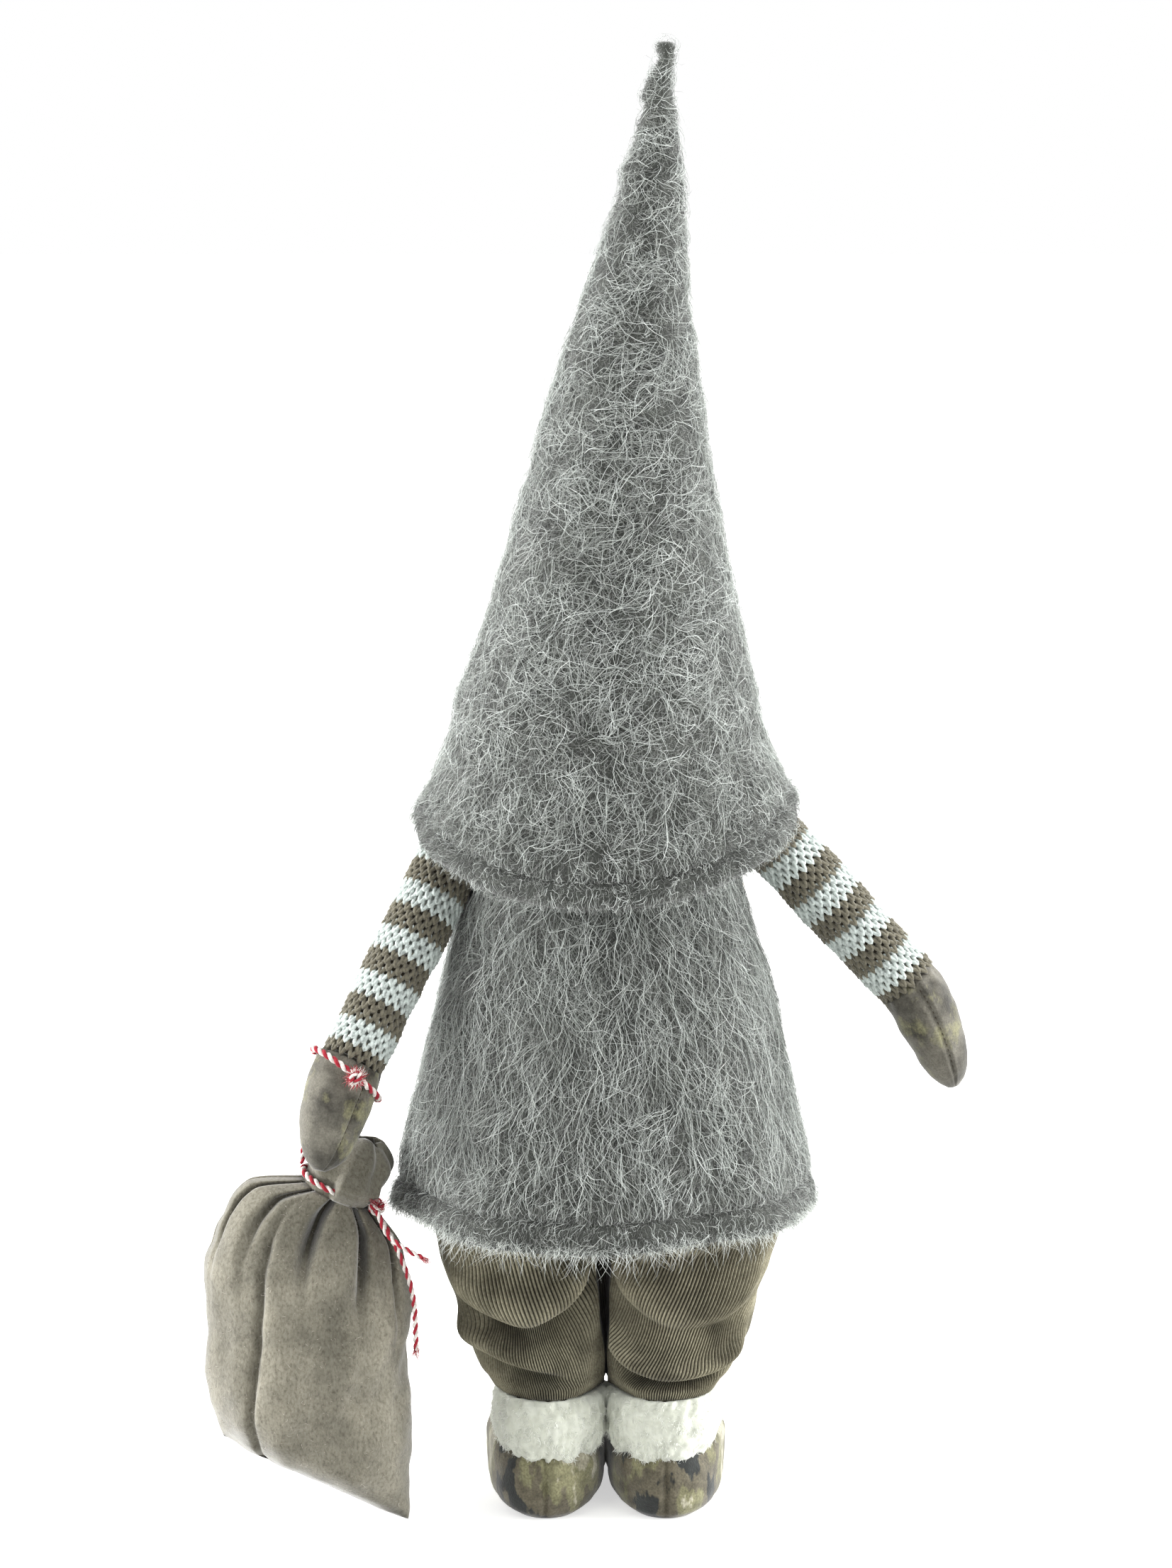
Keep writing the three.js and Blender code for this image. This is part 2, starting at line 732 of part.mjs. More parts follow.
// Twine along a chosen route
function twine(points, radius, steps) {
  const section = new THREE.Shape();
  for (let i = 0; i < 8; i += 1) {
    const angle = (2 * Math.PI * i) / 8;
    const x = radius * Math.cos(angle);
    const y = radius * Math.sin(angle);
    if (i === 0) section.moveTo(x, y);
    else section.lineTo(x, y);
  }
  const route = new THREE.CatmullRomCurve3(points);
  return new THREE.ExtrudeGeometry(section, { steps, extrudePath: route, bevelEnabled: false });
}

// Small ball of knotted twine
function knotBall(centre, radius, squash = 1) {
  const rings = [75, 45, 15, -15, -45, -75].map((angle) => {
    const size = radius * Math.cos(radians(angle));
    const height = centre.z + squash * radius * Math.sin(radians(angle));
    return levelRing(10, centre.x, centre.y, height, size, size);
  });
  return loft(rings);
}

// Wrist loop, its knot at the back and the hitch on its outer side
const wrist = handMiddle(arms.left, 0);
const loopCentre = handMiddle(arms.left, loopPastSleeve);
const loopTurn = new THREE.Quaternion().setFromAxisAngle(back, radians(-loopTilt));
const loopAcross = squareTo(arms.left.along).across.clone().applyQuaternion(loopTurn);
if (loopAcross.x < 0) loopAcross.negate();
const loopDepth = squareTo(arms.left.along).depth.clone();
if (loopDepth.y < 0) loopDepth.negate();
const loopHalfWidth = mittenRadius + loopSlack + twineRadius;
const loopHalfDepth = mittenFlat * mittenRadius + loopSlack + twineRadius;
const wristLoop = (grow) => twineLoop(
  loopCentre, loopAcross, loopDepth, loopHalfWidth, loopHalfDepth, twineRadius + grow, 20,
);
const wristKnotPlace = loopCentre.clone().addScaledVector(loopDepth, loopHalfDepth + knotRadius);
const hitchAngle = radians(-hitchTurn);
const hitchOut = twineRadius + seatGap + hitchRadius;
const hitchPlace = loopCentre.clone()
  .addScaledVector(loopAcross, (loopHalfWidth + hitchOut) * Math.cos(hitchAngle))
  .addScaledVector(loopDepth, (loopHalfDepth + hitchOut) * Math.sin(hitchAngle));

// Sack: rings in one slanted plane, outer side higher, from the bottom seam up to the frill
const neck = new THREE.Vector3(wrist.x + neckOutOfWrist, wrist.y - neckForward, wrist.z - neckBelowWrist);
const slant = new THREE.Vector3(Math.cos(radians(sackTilt)), 0, Math.sin(radians(sackTilt)));
const neckUp = new THREE.Vector3(-Math.sin(radians(sackTilt)), 0, Math.cos(radians(sackTilt)));
const sackRows = [
  // share of the drop, outward, back, share of the width, share of the depth
  [1, 12.6, 6, 0.83, 0.26],
  [0.95, 12.4, 5.5, 0.89, 0.6],
  [0.87, 12, 5, 0.945, 0.83],
  [0.73, 11.5, 4, 0.985, 0.97],
  [0.54, 11, 3, 1, 1],
  [0.35, 10.4, 2.5, 0.97, 0.92],
  [0.23, 8.4, 2, 0.9, 0.76],
  [0.1, 3.6, 1, 0.69, 0.56],
];

function sackRing(row, inward) {
  const [drop, outward, behind, wide, deep] = row;
  const centre = neck.clone().add(new THREE.Vector3(outward, behind, -drop * sackDrop));
  const halfWidth = (wide * sackWidth) / 2 - inward;
  const halfDepth = (deep * sackDepth) / 2 - inward;
  return ring(facets.sack, centre, slant, back, halfWidth, halfDepth);
}

function neckRing(upward, halfWidth, halfDepth, forward, wave) {
  const centre = neck.clone().addScaledVector(neckUp, upward).addScaledVector(back, -forward);
  return ring(facets.sack, centre, slant, back, halfWidth, halfDepth, wave);
}

const frillWave = (angle) => 1 + 0.07 * Math.cos(6 * angle);

function sack() {
  const frillRise = neckLength / 2 + frillHeight;
  const inner = sackRows.map((row) => sackRing(row, felt));
  const floor = inner[0];
  floor.forEach((point) => point.addScaledVector(neckUp, felt));
  return loft([
    ...sackRows.map((row) => sackRing(row, 0)),
    neckRing(-neckLength / 2, neckRadius, neckDepth, 0),
    neckRing(neckLength / 2, neckRadius, neckDepth, 0),
    neckRing(neckLength / 2 + 0.4 * frillHeight, neckRadius + 0.8, neckDepth - 0.8, 3, frillWave),
    neckRing(frillRise, neckRadius + 1.8, neckDepth - 1.6, 6.5, frillWave),
    neckRing(frillRise, neckRadius + 1.8 - felt, neckDepth - 1.6 - felt, 6.5, frillWave),
    neckRing(neckLength / 2 + 0.3 * frillHeight, 2 * neckBore, 1.5 * neckBore, 2),
    neckRing(0, neckBore, neckBore, 0),
    neckRing(-neckLength / 2, neckBore, neckBore, 0),
    ...inner.reverse(),
  ]);
}

function sackFilling() {
  const rings = sackRows.map((row) => sackRing(row, felt + fillingSlack));
  rings[0].forEach((point) => point.addScaledVector(neckUp, felt + fillingSlack));
  const crown = sackRing([0.075, 2.6, 1.5, 0.42, 0.36], felt + fillingSlack);
  return loft([...rings, crown]);
}

const tieHalfWidth = neckRadius + seatGap + twineRadius;
const tieHalfDepth = neckDepth + seatGap + twineRadius;
const sackTie = (grow) => twineLoop(neck, slant, back, tieHalfWidth, tieHalfDepth, twineRadius + grow, 20);
const tieAngle = radians(150);
const tieKnotPlace = neck.clone()
  .addScaledVector(slant, (tieHalfWidth + knotRadius) * Math.cos(tieAngle))
  .addScaledVector(back, (tieHalfDepth + knotRadius) * Math.sin(tieAngle));

// Chosen routes of the free twine, each from its own knot
const hangerEnd = neck.clone()
  .addScaledVector(slant, tieHalfWidth + tailRadius)
  .addScaledVector(neckUp, twineRadius + seatGap);
const hangerRoute = [
  hitchPlace.clone().add(new THREE.Vector3(0.3, 0, -hitchRadius - seatGap)),
  hitchPlace.clone().add(new THREE.Vector3(5.4, -0.6, -15)),
  hangerEnd.clone().add(new THREE.Vector3(0.8, 0, 13)),
  hangerEnd.clone(),
];
const tailFrom = (x, y, z) => tieKnotPlace.clone().add(new THREE.Vector3(x, y, z));
const longTailRoute = [
  tailFrom(-1.5, 1.6, -knotRadius - 0.2),
  tailFrom(-5, 5, -9),
  tailFrom(-9.5, 8, -18),
  tailFrom(-13, 9, -30),
  tailFrom(-14, 8.5, -50),
];
const shortTailRoute = [
  tailFrom(-1, knotRadius + 0.4, -2),
  tailFrom(-4, 8, -7.5),
  tailFrom(-10, 13, -11),
  tailFrom(-17, 16, -14),
];

// Assembly
const figure = new THREE.Group();

function add(name, geometry, colour, roughness) {
  const material = new THREE.MeshStandardMaterial({ color: colour, roughness, metalness: 0 });
  const mesh = new THREE.Mesh(geometry, material);
  mesh.name = name;
  figure.add(mesh);
  return mesh;
}

const colours = {
  pile: 0x84847f, corduroy: 0x3b352b, velvet: 0x6e6453, fleece: 0xf1efec, knit: 0xb9aa9c, suede: 0x7d7466,
  felt: 0xa4968a, twine: 0xb0494f, filling: 0xf2f0ea, board: 0x9b8465, pellets: 0xc9c5bd, wire: 0x8e8e8e,
  skin: 0xd9b79d, beard: 0xefeae2,
};

[['left', 1], ['right', -1]].forEach(([name, side]) => {
  add(`${name}_boot`, boot(side), colours.velvet, 0.9);
  add(`${name}_insole_board`, insole(side), colours.board, 0.9);
  add(`${name}_boot_weight`, bootWeight(side), colours.pellets, 0.9);
  add(`${name}_boot_cuff`, cuff(side), colours.fleece, 1);
  add(`${name}_trouser_leg`, trouserLeg(side), colours.corduroy, 0.95);
  add(`${name}_leg_filling`, legFilling(side), colours.filling, 1);
});

add('trouser_seat', trouserSeat(), colours.corduroy, 0.95);
add('torso_filling', cut(torsoForm(), [...leftSpaces, ...rightSpaces]), colours.filling, 1);
add('coat', cut(coatShell(), [...leftSpaces, ...rightSpaces]), colours.pile, 1);
add('head', head(), colours.filling, 1);
add('hat_filling', hatFilling(), colours.filling, 1);
add('hat', hat(), colours.pile, 1);
add('nose', cut(noseForm(0), [coatEnvelope(seatGap)]), colours.skin, 0.9);
add('beard', beard(), colours.beard, 1);

[['left', arms.left], ['right', arms.right]].forEach(([name, arm]) => {
  add(`${name}_sleeve`, sleeve(arm), colours.knit, 1);
  add(`${name}_arm_filling`, armFilling(arm), colours.filling, 1);
  add(`${name}_arm_wire`, armWire(arm), colours.wire, 0.4);
  add(`${name}_mitten`, mitten(arm), colours.suede, 0.9);
});

const handSpace = mittenEnvelope(arms.left, seatGap);
add('wrist_cord', wristLoop(0), colours.twine, 0.9);
const wristKnot = cut(knotBall(wristKnotPlace, knotRadius), [wristLoop(seatGap), handSpace]);
add('wrist_knot', wristKnot, colours.twine, 0.9);
add('hanger_hitch', knotBall(hitchPlace, hitchRadius), colours.twine, 0.9);
add('sack_hanger_cord', twine(hangerRoute, tailRadius, 10), colours.twine, 0.9);
add('sack', sack(), colours.felt, 0.95);
add('sack_filling', sackFilling(), colours.filling, 1);
add('sack_tie', sackTie(0), colours.twine, 0.9);
add('sack_tie_knot', cut(knotBall(tieKnotPlace, knotRadius), [sackTie(seatGap)]), colours.twine, 0.9);
add('sack_tie_tail_long', twine(longTailRoute, tailRadius, 12), colours.twine, 0.9);
add('sack_tie_tail_short', twine(shortTailRoute, tailRadius, 7), colours.twine, 0.9);

// The origin is under the middle of the figure's box, on the floor
const twineNodes = ['sack_hanger_cord', 'sack_tie_tail_long', 'sack_tie_tail_short'];
const box = new THREE.Box3();
figure.children
  .filter((mesh) => !twineNodes.includes(mesh.name))
  .forEach((mesh) => box.expandByObject(mesh));
const centre = box.getCenter(new THREE.Vector3());
figure.position.set(-centre.x, -centre.y, -box.min.z);
figure.updateMatrixWorld(true);

export default figure;
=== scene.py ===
import math
import bpy
import numpy as np
from mathutils import Matrix, Vector


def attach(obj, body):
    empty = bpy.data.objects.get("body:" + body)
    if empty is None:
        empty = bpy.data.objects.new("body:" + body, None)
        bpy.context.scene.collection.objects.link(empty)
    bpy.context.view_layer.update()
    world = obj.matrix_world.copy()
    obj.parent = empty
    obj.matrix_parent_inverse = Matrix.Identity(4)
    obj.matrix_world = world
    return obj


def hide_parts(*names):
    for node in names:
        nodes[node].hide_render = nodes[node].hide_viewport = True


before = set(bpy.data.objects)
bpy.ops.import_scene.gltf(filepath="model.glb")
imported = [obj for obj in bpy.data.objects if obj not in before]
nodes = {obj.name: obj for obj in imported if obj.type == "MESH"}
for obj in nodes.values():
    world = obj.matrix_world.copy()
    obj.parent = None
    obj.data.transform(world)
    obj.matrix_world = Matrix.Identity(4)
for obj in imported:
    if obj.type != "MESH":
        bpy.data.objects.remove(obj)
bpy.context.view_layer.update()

mm = 0.001
toFrame = np.array([-7.078, 0.631, 0.0])  # figure's own axis to the frame's origin, mm
scene = bpy.context.scene
thinner = 1
fullTurn = 2 * math.pi
xAxis, yAxis, zAxis = np.eye(3)
sides = (("left", 1), ("right", -1))  # name and sign of x


# small tools for shapes, all in millimetres on the figure's own axis
def unit(v):
    return v / np.maximum(np.linalg.norm(v, axis=-1, keepdims=True), 1e-9)


def lerp(a, b, t):
    return a + (b - a) * t


def clamp(value):
    return np.clip(value, 0, 1)


def smooth(t):
    return (3 - 2 * t) * t * t


def stretches(*rows):  # even steps over each stretch in turn, given as first, last and count
    return np.concatenate([np.linspace(*row) for row in rows])


def upright(values):  # one value to a row, to multiply points by
    return np.reshape(values, (-1, 1))


def bump(distance, width):
    return np.exp(-(distance / width) ** 2)


def spinY(degrees):
    return np.array(Matrix.Rotation(math.radians(degrees), 3, "Y"))


def through(knots, place):  # smooth curve through the knots that never overshoots
    x, y = np.array(knots, float).T
    slope = np.diff(y) / np.diff(x)
    tangent = np.concatenate([slope[:1], np.zeros(len(x) - 2), slope[-1:]])
    a, b = slope[:-1], slope[1:]
    same = a * b > 0
    tangent[1:-1] = np.where(same, 2 * a * b / np.where(same, a + b, 1), 0)
    place = np.clip(np.asarray(place, float), x[0], x[-1])
    i = np.clip(np.searchsorted(x, place, side="right") - 1, 0, len(x) - 2)
    span = x[i + 1] - x[i]
    t = (place - x[i]) / span
    rise = smooth(t) * (y[i + 1] - y[i])
    return y[i] + rise + span * (t * (1 - t) ** 2 * tangent[i] + t * t * (t - 1) * tangent[i + 1])


def wobble(points, size, seed):  # soft unevenness, about -1 to 1, with lumps of that size
    rng = np.random.default_rng(seed)
    ways = unit(rng.normal(size=(7, 3))) * (rng.uniform(0.6, 1.5, (7, 1)) * fullTurn / size)
    return np.sin(points @ ways.T + rng.uniform(0, fullTurn, 7)).mean(-1) * 1.9


def meshFrom(name, points, quads, tris=(), cornerMap=None, slots=None):
    quads = np.asarray(quads, np.int32).reshape(-1, 4)
    tris = np.asarray(tris, np.int32).reshape(-1, 3)
    corners = np.concatenate([quads.ravel(), tris.ravel()])
    starts = np.concatenate([np.arange(len(quads)) * 4, len(quads) * 4 + np.arange(len(tris)) * 3])
    mesh = bpy.data.meshes.new(name)
    mesh.vertices.add(len(points))
    mesh.vertices.foreach_set("co", ((points + toFrame) * mm).astype(np.float32).ravel())
    mesh.loops.add(len(corners))
    mesh.loops.foreach_set("vertex_index", corners.astype(np.int32))
    mesh.polygons.add(len(starts))
    mesh.polygons.foreach_set("loop_start", starts.astype(np.int32))
    mesh.polygons.foreach_set("use_smooth", np.ones(len(starts), bool))
    if slots is not None:
        mesh.polygons.foreach_set("material_index", np.asarray(slots, np.int32))
    mesh.update(calc_edges=True)
    if cornerMap is not None:
        layer = mesh.uv_layers.new(name="OFBake")
        layer.data.foreach_set("uv", cornerMap.astype(np.float32).ravel())
    obj = bpy.data.objects.new(name, mesh)
    scene.collection.objects.link(obj)
    return obj


def skin(rows, wrap):  # points, sides and end caps through rings, with no caps where it wraps
    n, m = rows.shape[:2]
    grid = np.arange(n * m).reshape(n, m)
    low = grid if wrap else grid[:-1]
    high = np.roll(grid, -1, 0) if wrap else grid[1:]
    quads = np.stack([low, np.roll(low, -1, 1), np.roll(high, -1, 1), high], -1).reshape(-1, 4)
    points = rows.reshape(-1, 3)
    if wrap:
        return points, quads, np.zeros((0, 3), int)
    points = np.concatenate([points, rows[:1].mean(1), rows[-1:].mean(1)])
    first, last = grid[0], grid[-1]
    bottom = np.stack([np.full(m, n * m), np.roll(first, -1), first], -1)
    top = np.stack([np.full(m, n * m + 1), last, np.roll(last, -1)], -1)
    return points, quads, np.concatenate([bottom, top])


def loft(name, rows, wrap=False, slots=None):  # closed skin through rings, faces outward
    rows = np.asarray(rows, float)
    points, quads, tris = skin(rows, wrap)
    a, b, c, d = (points[quads[:, i]] for i in range(4))
    e, f, g = (points[tris[:, i]] for i in range(3))
    volume = (np.cross(a, b) * c).sum() + (np.cross(a, c) * d).sum() + (np.cross(e, f) * g).sum()
    if volume < 0:
        quads, tris = quads[:, ::-1], tris[:, ::-1]
    if slots is not None:
        slots = np.concatenate([np.repeat(slots, rows.shape[1]), np.zeros(len(tris), int)])
    return meshFrom(name, points, quads, tris, slots=slots)


def joinSkins(name, skins):  # one mesh of several skins: rings, whether they wrap, material slot
    points, quads, tris, slots, capSlots, first = [], [], [], [], [], 0
    for rows, wrap, slot in skins:
        spots, walls, caps = skin(rows, wrap)
        points.append(spots)
        quads.append(walls + first)
        tris.append(caps + first)
        slots.append(np.full(len(walls), slot))
        capSlots.append(np.full(len(caps), slot))
        first += len(spots)
    return meshFrom(name, np.concatenate(points), np.concatenate(quads), np.concatenate(tris),
                    slots=np.concatenate(slots + capSlots))


def turn(count):
    return np.linspace(0, fullTurn, count, endpoint=False)


def offTurn(angle):  # between minus and plus half a turn
    return (angle + math.pi) % fullTurn - math.pi


def oval(centre, across, depth, halfWidth, halfDepth, angle):
    return centre + across * (halfWidth * np.cos(angle)) + depth * (halfDepth * np.sin(angle))


def ring(count, centre, across, depth, halfWidth, halfDepth):
    return oval(centre, across, depth, upright(halfWidth), upright(halfDepth), upright(turn(count)))


def levelRow(count, x, y, z, halfWidth, halfDepth):
    return ring(count, np.array([x, y, z]), xAxis, yAxis, halfWidth, halfDepth)


def squareTo(along):
    across = unit(np.cross(yAxis, along))
    return across, unit(np.cross(along, across))


def limbRow(count, centre, along, halfWidth, halfDepth):
    return ring(count, centre, *squareTo(along), halfWidth, halfDepth)


def curve(points, gap):  # smooth route through the points, sampled about every gap
    points = np.asarray(points, float)
    ends = np.concatenate([[2 * points[0] - points[1]], points, [2 * points[-1] - points[-2]]])
    steps = np.sqrt(np.linalg.norm(np.diff(ends, axis=0), axis=1))
    route = []
    for i in range(1, len(ends) - 2):
        a, b, c = steps[i - 1:i + 2]
        p0, p1, p2, p3 = ends[i - 1:i + 3]
        m1 = p2 - p1 + b * ((p1 - p0) / a - (p2 - p0) / (a + b))
        m2 = p2 - p1 + b * ((p3 - p2) / c - (p3 - p1) / (b + c))
        count = max(2, int(np.linalg.norm(p2 - p1) / gap))
        t = np.linspace(0, 1, count, endpoint=False)[:, None]
        route.append(p1 + smooth(t) * (p2 - p1) + t * (1 - t) ** 2 * m1 + t * t * (t - 1) * m2)
    return np.concatenate(route + [points[-1:]])


def routeFrames(route, closed):  # steady side directions along a route
    way = np.roll(route, -1, 0) - np.roll(route, 1, 0) if closed else np.gradient(route, axis=0)
    way = unit(way)
    side = [unit(np.cross(way[0], [0.31, 0.52, 0.79]))]
    for i in range(1, len(route)):
        side.append(unit(side[-1] - way[i] * (side[-1] @ way[i])))
    side = np.array(side)
    if closed:  # the side directions come round to where they began
        last = unit(side[-1] - way[0] * (side[-1] @ way[0]))
        slip = math.atan2(np.cross(last, side[0]) @ way[0], last @ side[0])
        angle = upright(slip * np.arange(len(route)) / len(route))
        side = side * np.cos(angle) + np.cross(way, side) * np.sin(angle)
    return side, np.cross(way, side)


def tubeRows(route, radius, count, closed):
    one, two = routeFrames(route, closed)
    angle = turn(count)[None, :, None]
    size = np.reshape(np.broadcast_to(radius, len(route)), (-1, 1, 1))
    return route[:, None] + size * (one[:, None] * np.cos(angle) + two[:, None] * np.sin(angle))


def scatter(rows, count, rng):  # even spread of root points on a skin, with their outward directions
    rows = np.asarray(rows)
    a, b = rows[:-1], rows[1:]
    c, d = np.roll(a, -1, 1), np.roll(b, -1, 1)
    out = np.cross(c - a, b - a)
    area = np.linalg.norm(out, axis=-1).ravel()
    pick = rng.choice(area.size, count, p=area / area.sum())
    s, t = rng.random((2, count, 1))
    a, b, c, d = (q.reshape(-1, 3)[pick] for q in (a, b, c, d))
    return lerp(lerp(a, c, s), lerp(b, d, s), t), unit(out.reshape(-1, 3)[pick])


def fibreMesh(name, paths, radius, shade, shades, seed):  # thin three-sided tapering fibres as one mesh
    count, steps = paths.shape[:2]
    rng = np.random.default_rng(seed)
    way = unit(paths[:, -1] - paths[:, 0])
    one = unit(np.cross(way, rng.normal(size=(count, 3))))
    two = np.cross(way, one)
    thin = np.linspace(1, 0.5, steps - 1)[None, :, None] * np.reshape(radius, (-1, 1, 1))
    corners = [(one * math.cos(a) + two * math.sin(a))[:, None] * thin + paths[:, :-1] for a in turn(3)]
    body = np.stack(corners, 2).reshape(count, -1, 3)
    points = np.concatenate([body, paths[:, -1:]], 1)
    levels, tip = steps - 2, (steps - 1) * 3
    quads = [[3 * k + c, 3 * k + (c + 1) % 3, 3 * k + 3 + (c + 1) % 3, 3 * k + 3 + c]
             for k in range(levels) for c in range(3)]
    tris = [[3 * levels + c, 3 * levels + (c + 1) % 3, tip] for c in range(3)] + [[0, 2, 1]]
    first = np.arange(count)[:, None, None] * (tip + 1)
    left, middle, right = ((shade + part) / shades for part in (0.2, 0.5, 0.8))
    level = np.linspace(0, 1, steps)

    def cornerPlaces(*places):  # across a fibre's own shade cell, and along the fibre
        return np.stack([np.stack([u, np.full(count, v)], -1) for u, v in places], 1)

    quadMap = []
    for low, high in zip(level[:levels], level[1:]):
        quadMap += [cornerPlaces((left, low), (right, low), (right, high), (left, high))] * 3
    low = level[levels]
    triMap = [cornerPlaces((left, low), (right, low), (middle, 1.0))] * 3
    triMap.append(cornerPlaces((left, 0.0), (right, 0.0), (middle, 0.1)))
    cornerMap = np.concatenate([np.stack(faces, 1).reshape(-1, 2) for faces in (quadMap, triMap)])
    return meshFrom(name, points.reshape(-1, 3), np.array(quads)[None] + first, np.array(tris)[None] + first,
                    cornerMap=cornerMap)


def pilePaths(rng, place, out, lay, length, lift, curl, steps=4):  # bent fibres from their roots
    count = len(place)
    length = upright(length)
    start = unit(out * lift + lay * (1 - lift) + rng.normal(size=(count, 3)) * 0.22)
    end = unit(lay + out * 0.1 + rng.normal(size=(count, 3)) * curl)
    side = unit(np.cross(start, rng.normal(size=(count, 3))))
    phase = rng.uniform(0, fullTurn, (count, 1))
    paths = [place - out * 0.5]
    for k in range(1, steps):
        share = (k - 0.5) / (steps - 1)
        bend = side * np.sin(phase + 3.4 * share) * curl * 0.9
        paths.append(paths[-1] + unit(lerp(start, end, share) + bend) * length / (steps - 1))
    return np.stack(paths, 1)


# small tools for finishes
def srgb(*levels):  # red, green and blue from 0 to 255
    return tuple(c / 255 / 12.92 if c <= 10 else ((c / 255 + 0.055) / 1.055) ** 2.4 for c in levels) + (1,)


black, white = srgb(0, 0, 0), srgb(255, 255, 255)


def shaded(colour, part):
    return tuple(c * part for c in colour[:3]) + (1,)


def setInputs(tree, node, inputs):  # each is a value, or another node's output to link
    for socket, value in inputs.items():
        if hasattr(value, "links"):
            tree.links.new(value, node.inputs[socket])
        else:
            node.inputs[socket].default_value = value


def newNode(tree, kind, inputs, **settings):
    made = tree.nodes.new("ShaderNode" + kind)
    for key, value in settings.items():
        setattr(made, key, value)
    setInputs(tree, made, inputs)
    return made


def newFinish(name, roughness, sheen=0.0, specular=0.3):
    made = bpy.data.materials.new(name)
    made.use_nodes = True
    tree = made.node_tree
    shader = tree.nodes["Principled BSDF"]
    setInputs(tree, shader, {"Roughness": roughness, "Specular IOR Level": specular, "Sheen Weight": sheen,
                             "Sheen Roughness": 0.45})
    return made, tree, shader


def noiseNode(tree, size, detail, stretch=(1, 1, 1), rough=0.55):  # size in millimetres
    place = newNode(tree, "TexCoord", {}).outputs["Object"]
    scale = newNode(tree, "Mapping", {"Vector": place, "Scale": [s / (size * mm) for s in stretch]})
    noise = {"Vector": scale.outputs["Vector"], "Scale": 1.0, "Detail": detail, "Roughness": rough}
    return newNode(tree, "TexNoise", noise).outputs["Fac"]


def rampNode(tree, value, stops, steps="LINEAR"):
    ramp = newNode(tree, "ValToRGB", {"Fac": value})
    while len(ramp.color_ramp.elements) < len(stops):
        ramp.color_ramp.elements.new(0.5)
    for element, (place, colour) in zip(ramp.color_ramp.elements, stops):
        element.position, element.color = place, colour
    ramp.color_ramp.interpolation = steps
    return ramp.outputs["Color"]


def mixNode(tree, share, a, b, way="MIX"):
    return newNode(tree, "Mix", {0: share, 6: a, 7: b}, data_type="RGBA", blend_type=way).outputs[2]


def paintedShadeNode(tree, colour, reach, share):  # painted shade: cloth is darker deep in its folds, from ambient occlusion
    paintedShade = newNode(tree, "AmbientOcclusion", {"Distance": reach * mm}, samples=8)
    dark = rampNode(tree, paintedShade.outputs["AO"], [(0.15, (0.12, 0.115, 0.1, 1)), (0.8, white)])
    return mixNode(tree, share, colour, dark, "MULTIPLY")


def layeredFinish(name, surface, noise, stops, layers=(), patch=None, paintedShade=None, relief=None):
    made, tree, shader = newFinish(name, *surface)  # roughness, sheen and specular
    tone = rampNode(tree, noiseNode(tree, *noise), stops)
    if patch:
        patchNoise, patchStops, colour = patch
        tone = mixNode(tree, rampNode(tree, noiseNode(tree, *patchNoise), patchStops), tone, colour)
    for share, layerNoise, layerStops in layers:  # finer tones darken the broad ones
        layer = rampNode(tree, noiseNode(tree, *layerNoise), layerStops)
        tone = mixNode(tree, share, tone, layer, "MULTIPLY")
    # painted shade from ambient occlusion in folds and hollows
    if paintedShade:
        tone = paintedShadeNode(tree, tone, *paintedShade)
    setInputs(tree, shader, {"Base Color": tone})
    if relief:
        reliefNoise, depth = relief
        height = {"Height": noiseNode(tree, *reliefNoise), "Strength": 0.6, "Distance": depth * mm}
        setInputs(tree, shader, {"Normal": newNode(tree, "Bump", height).outputs["Normal"]})
    return made


def clothFinish(name, dark, light, patch, grain, roughness, sheen, depth, stretch=(1, 1, 1), low=150):
    fine = (0.75, (grain, 2, stretch), [(0.3, srgb(low, low, low)), (0.7, white)])
    return layeredFinish(name, (roughness, sheen), (patch, 4), [(0.34, dark), (0.66, light)], [fine],
                         relief=((grain, 3, stretch), depth))


def fibreFinish(name, shades, root, roughness, sheen=0.0):  # shade by fibre, darker at its root
    made, tree, shader = newFinish(name, roughness, sheen)
    place = newNode(tree, "UVMap", {}, uv_map="OFBake").outputs["UV"]
    split = newNode(tree, "SeparateXYZ", {"Vector": place}).outputs
    stops = [(i / len(shades), srgb(*c)) for i, c in enumerate(shades)]
    colour = rampNode(tree, split["X"], stops, "CONSTANT")
    fade = rampNode(tree, split["Y"], [(0.0, (root, root, root, 1)), (0.6, white)])
    setInputs(tree, shader, {"Base Color": mixNode(tree, 1.0, colour, fade, "MULTIPLY")})
    return made


def place(obj, body, finish, slot, stands=(), fill=None):
    for made in finish if isinstance(finish, list) else [finish]:
        obj.data.materials.append(made)
    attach(obj, body)
    if stands:
        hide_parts(*stands)
    return obj


# camera at the picture's angle: behind the figure, a little above its middle
shot = {"place": np.array([7.206, 1499.97, 560.0]), "down": 11.2067, "lens": 99.906}
cameraData = bpy.data.cameras.new("camera")
cameraData.lens, cameraData.sensor_width = shot["lens"], 36.0
cameraData.clip_start, cameraData.clip_end = 0.05, 50
camera = bpy.data.objects.new("camera", cameraData)
camera.location = (shot["place"] + toFrame) * mm
camera.rotation_euler = (math.radians(90 - shot["down"]), 0, math.radians(180))
scene.collection.objects.link(camera)
scene.camera = camera
print("camera placed")


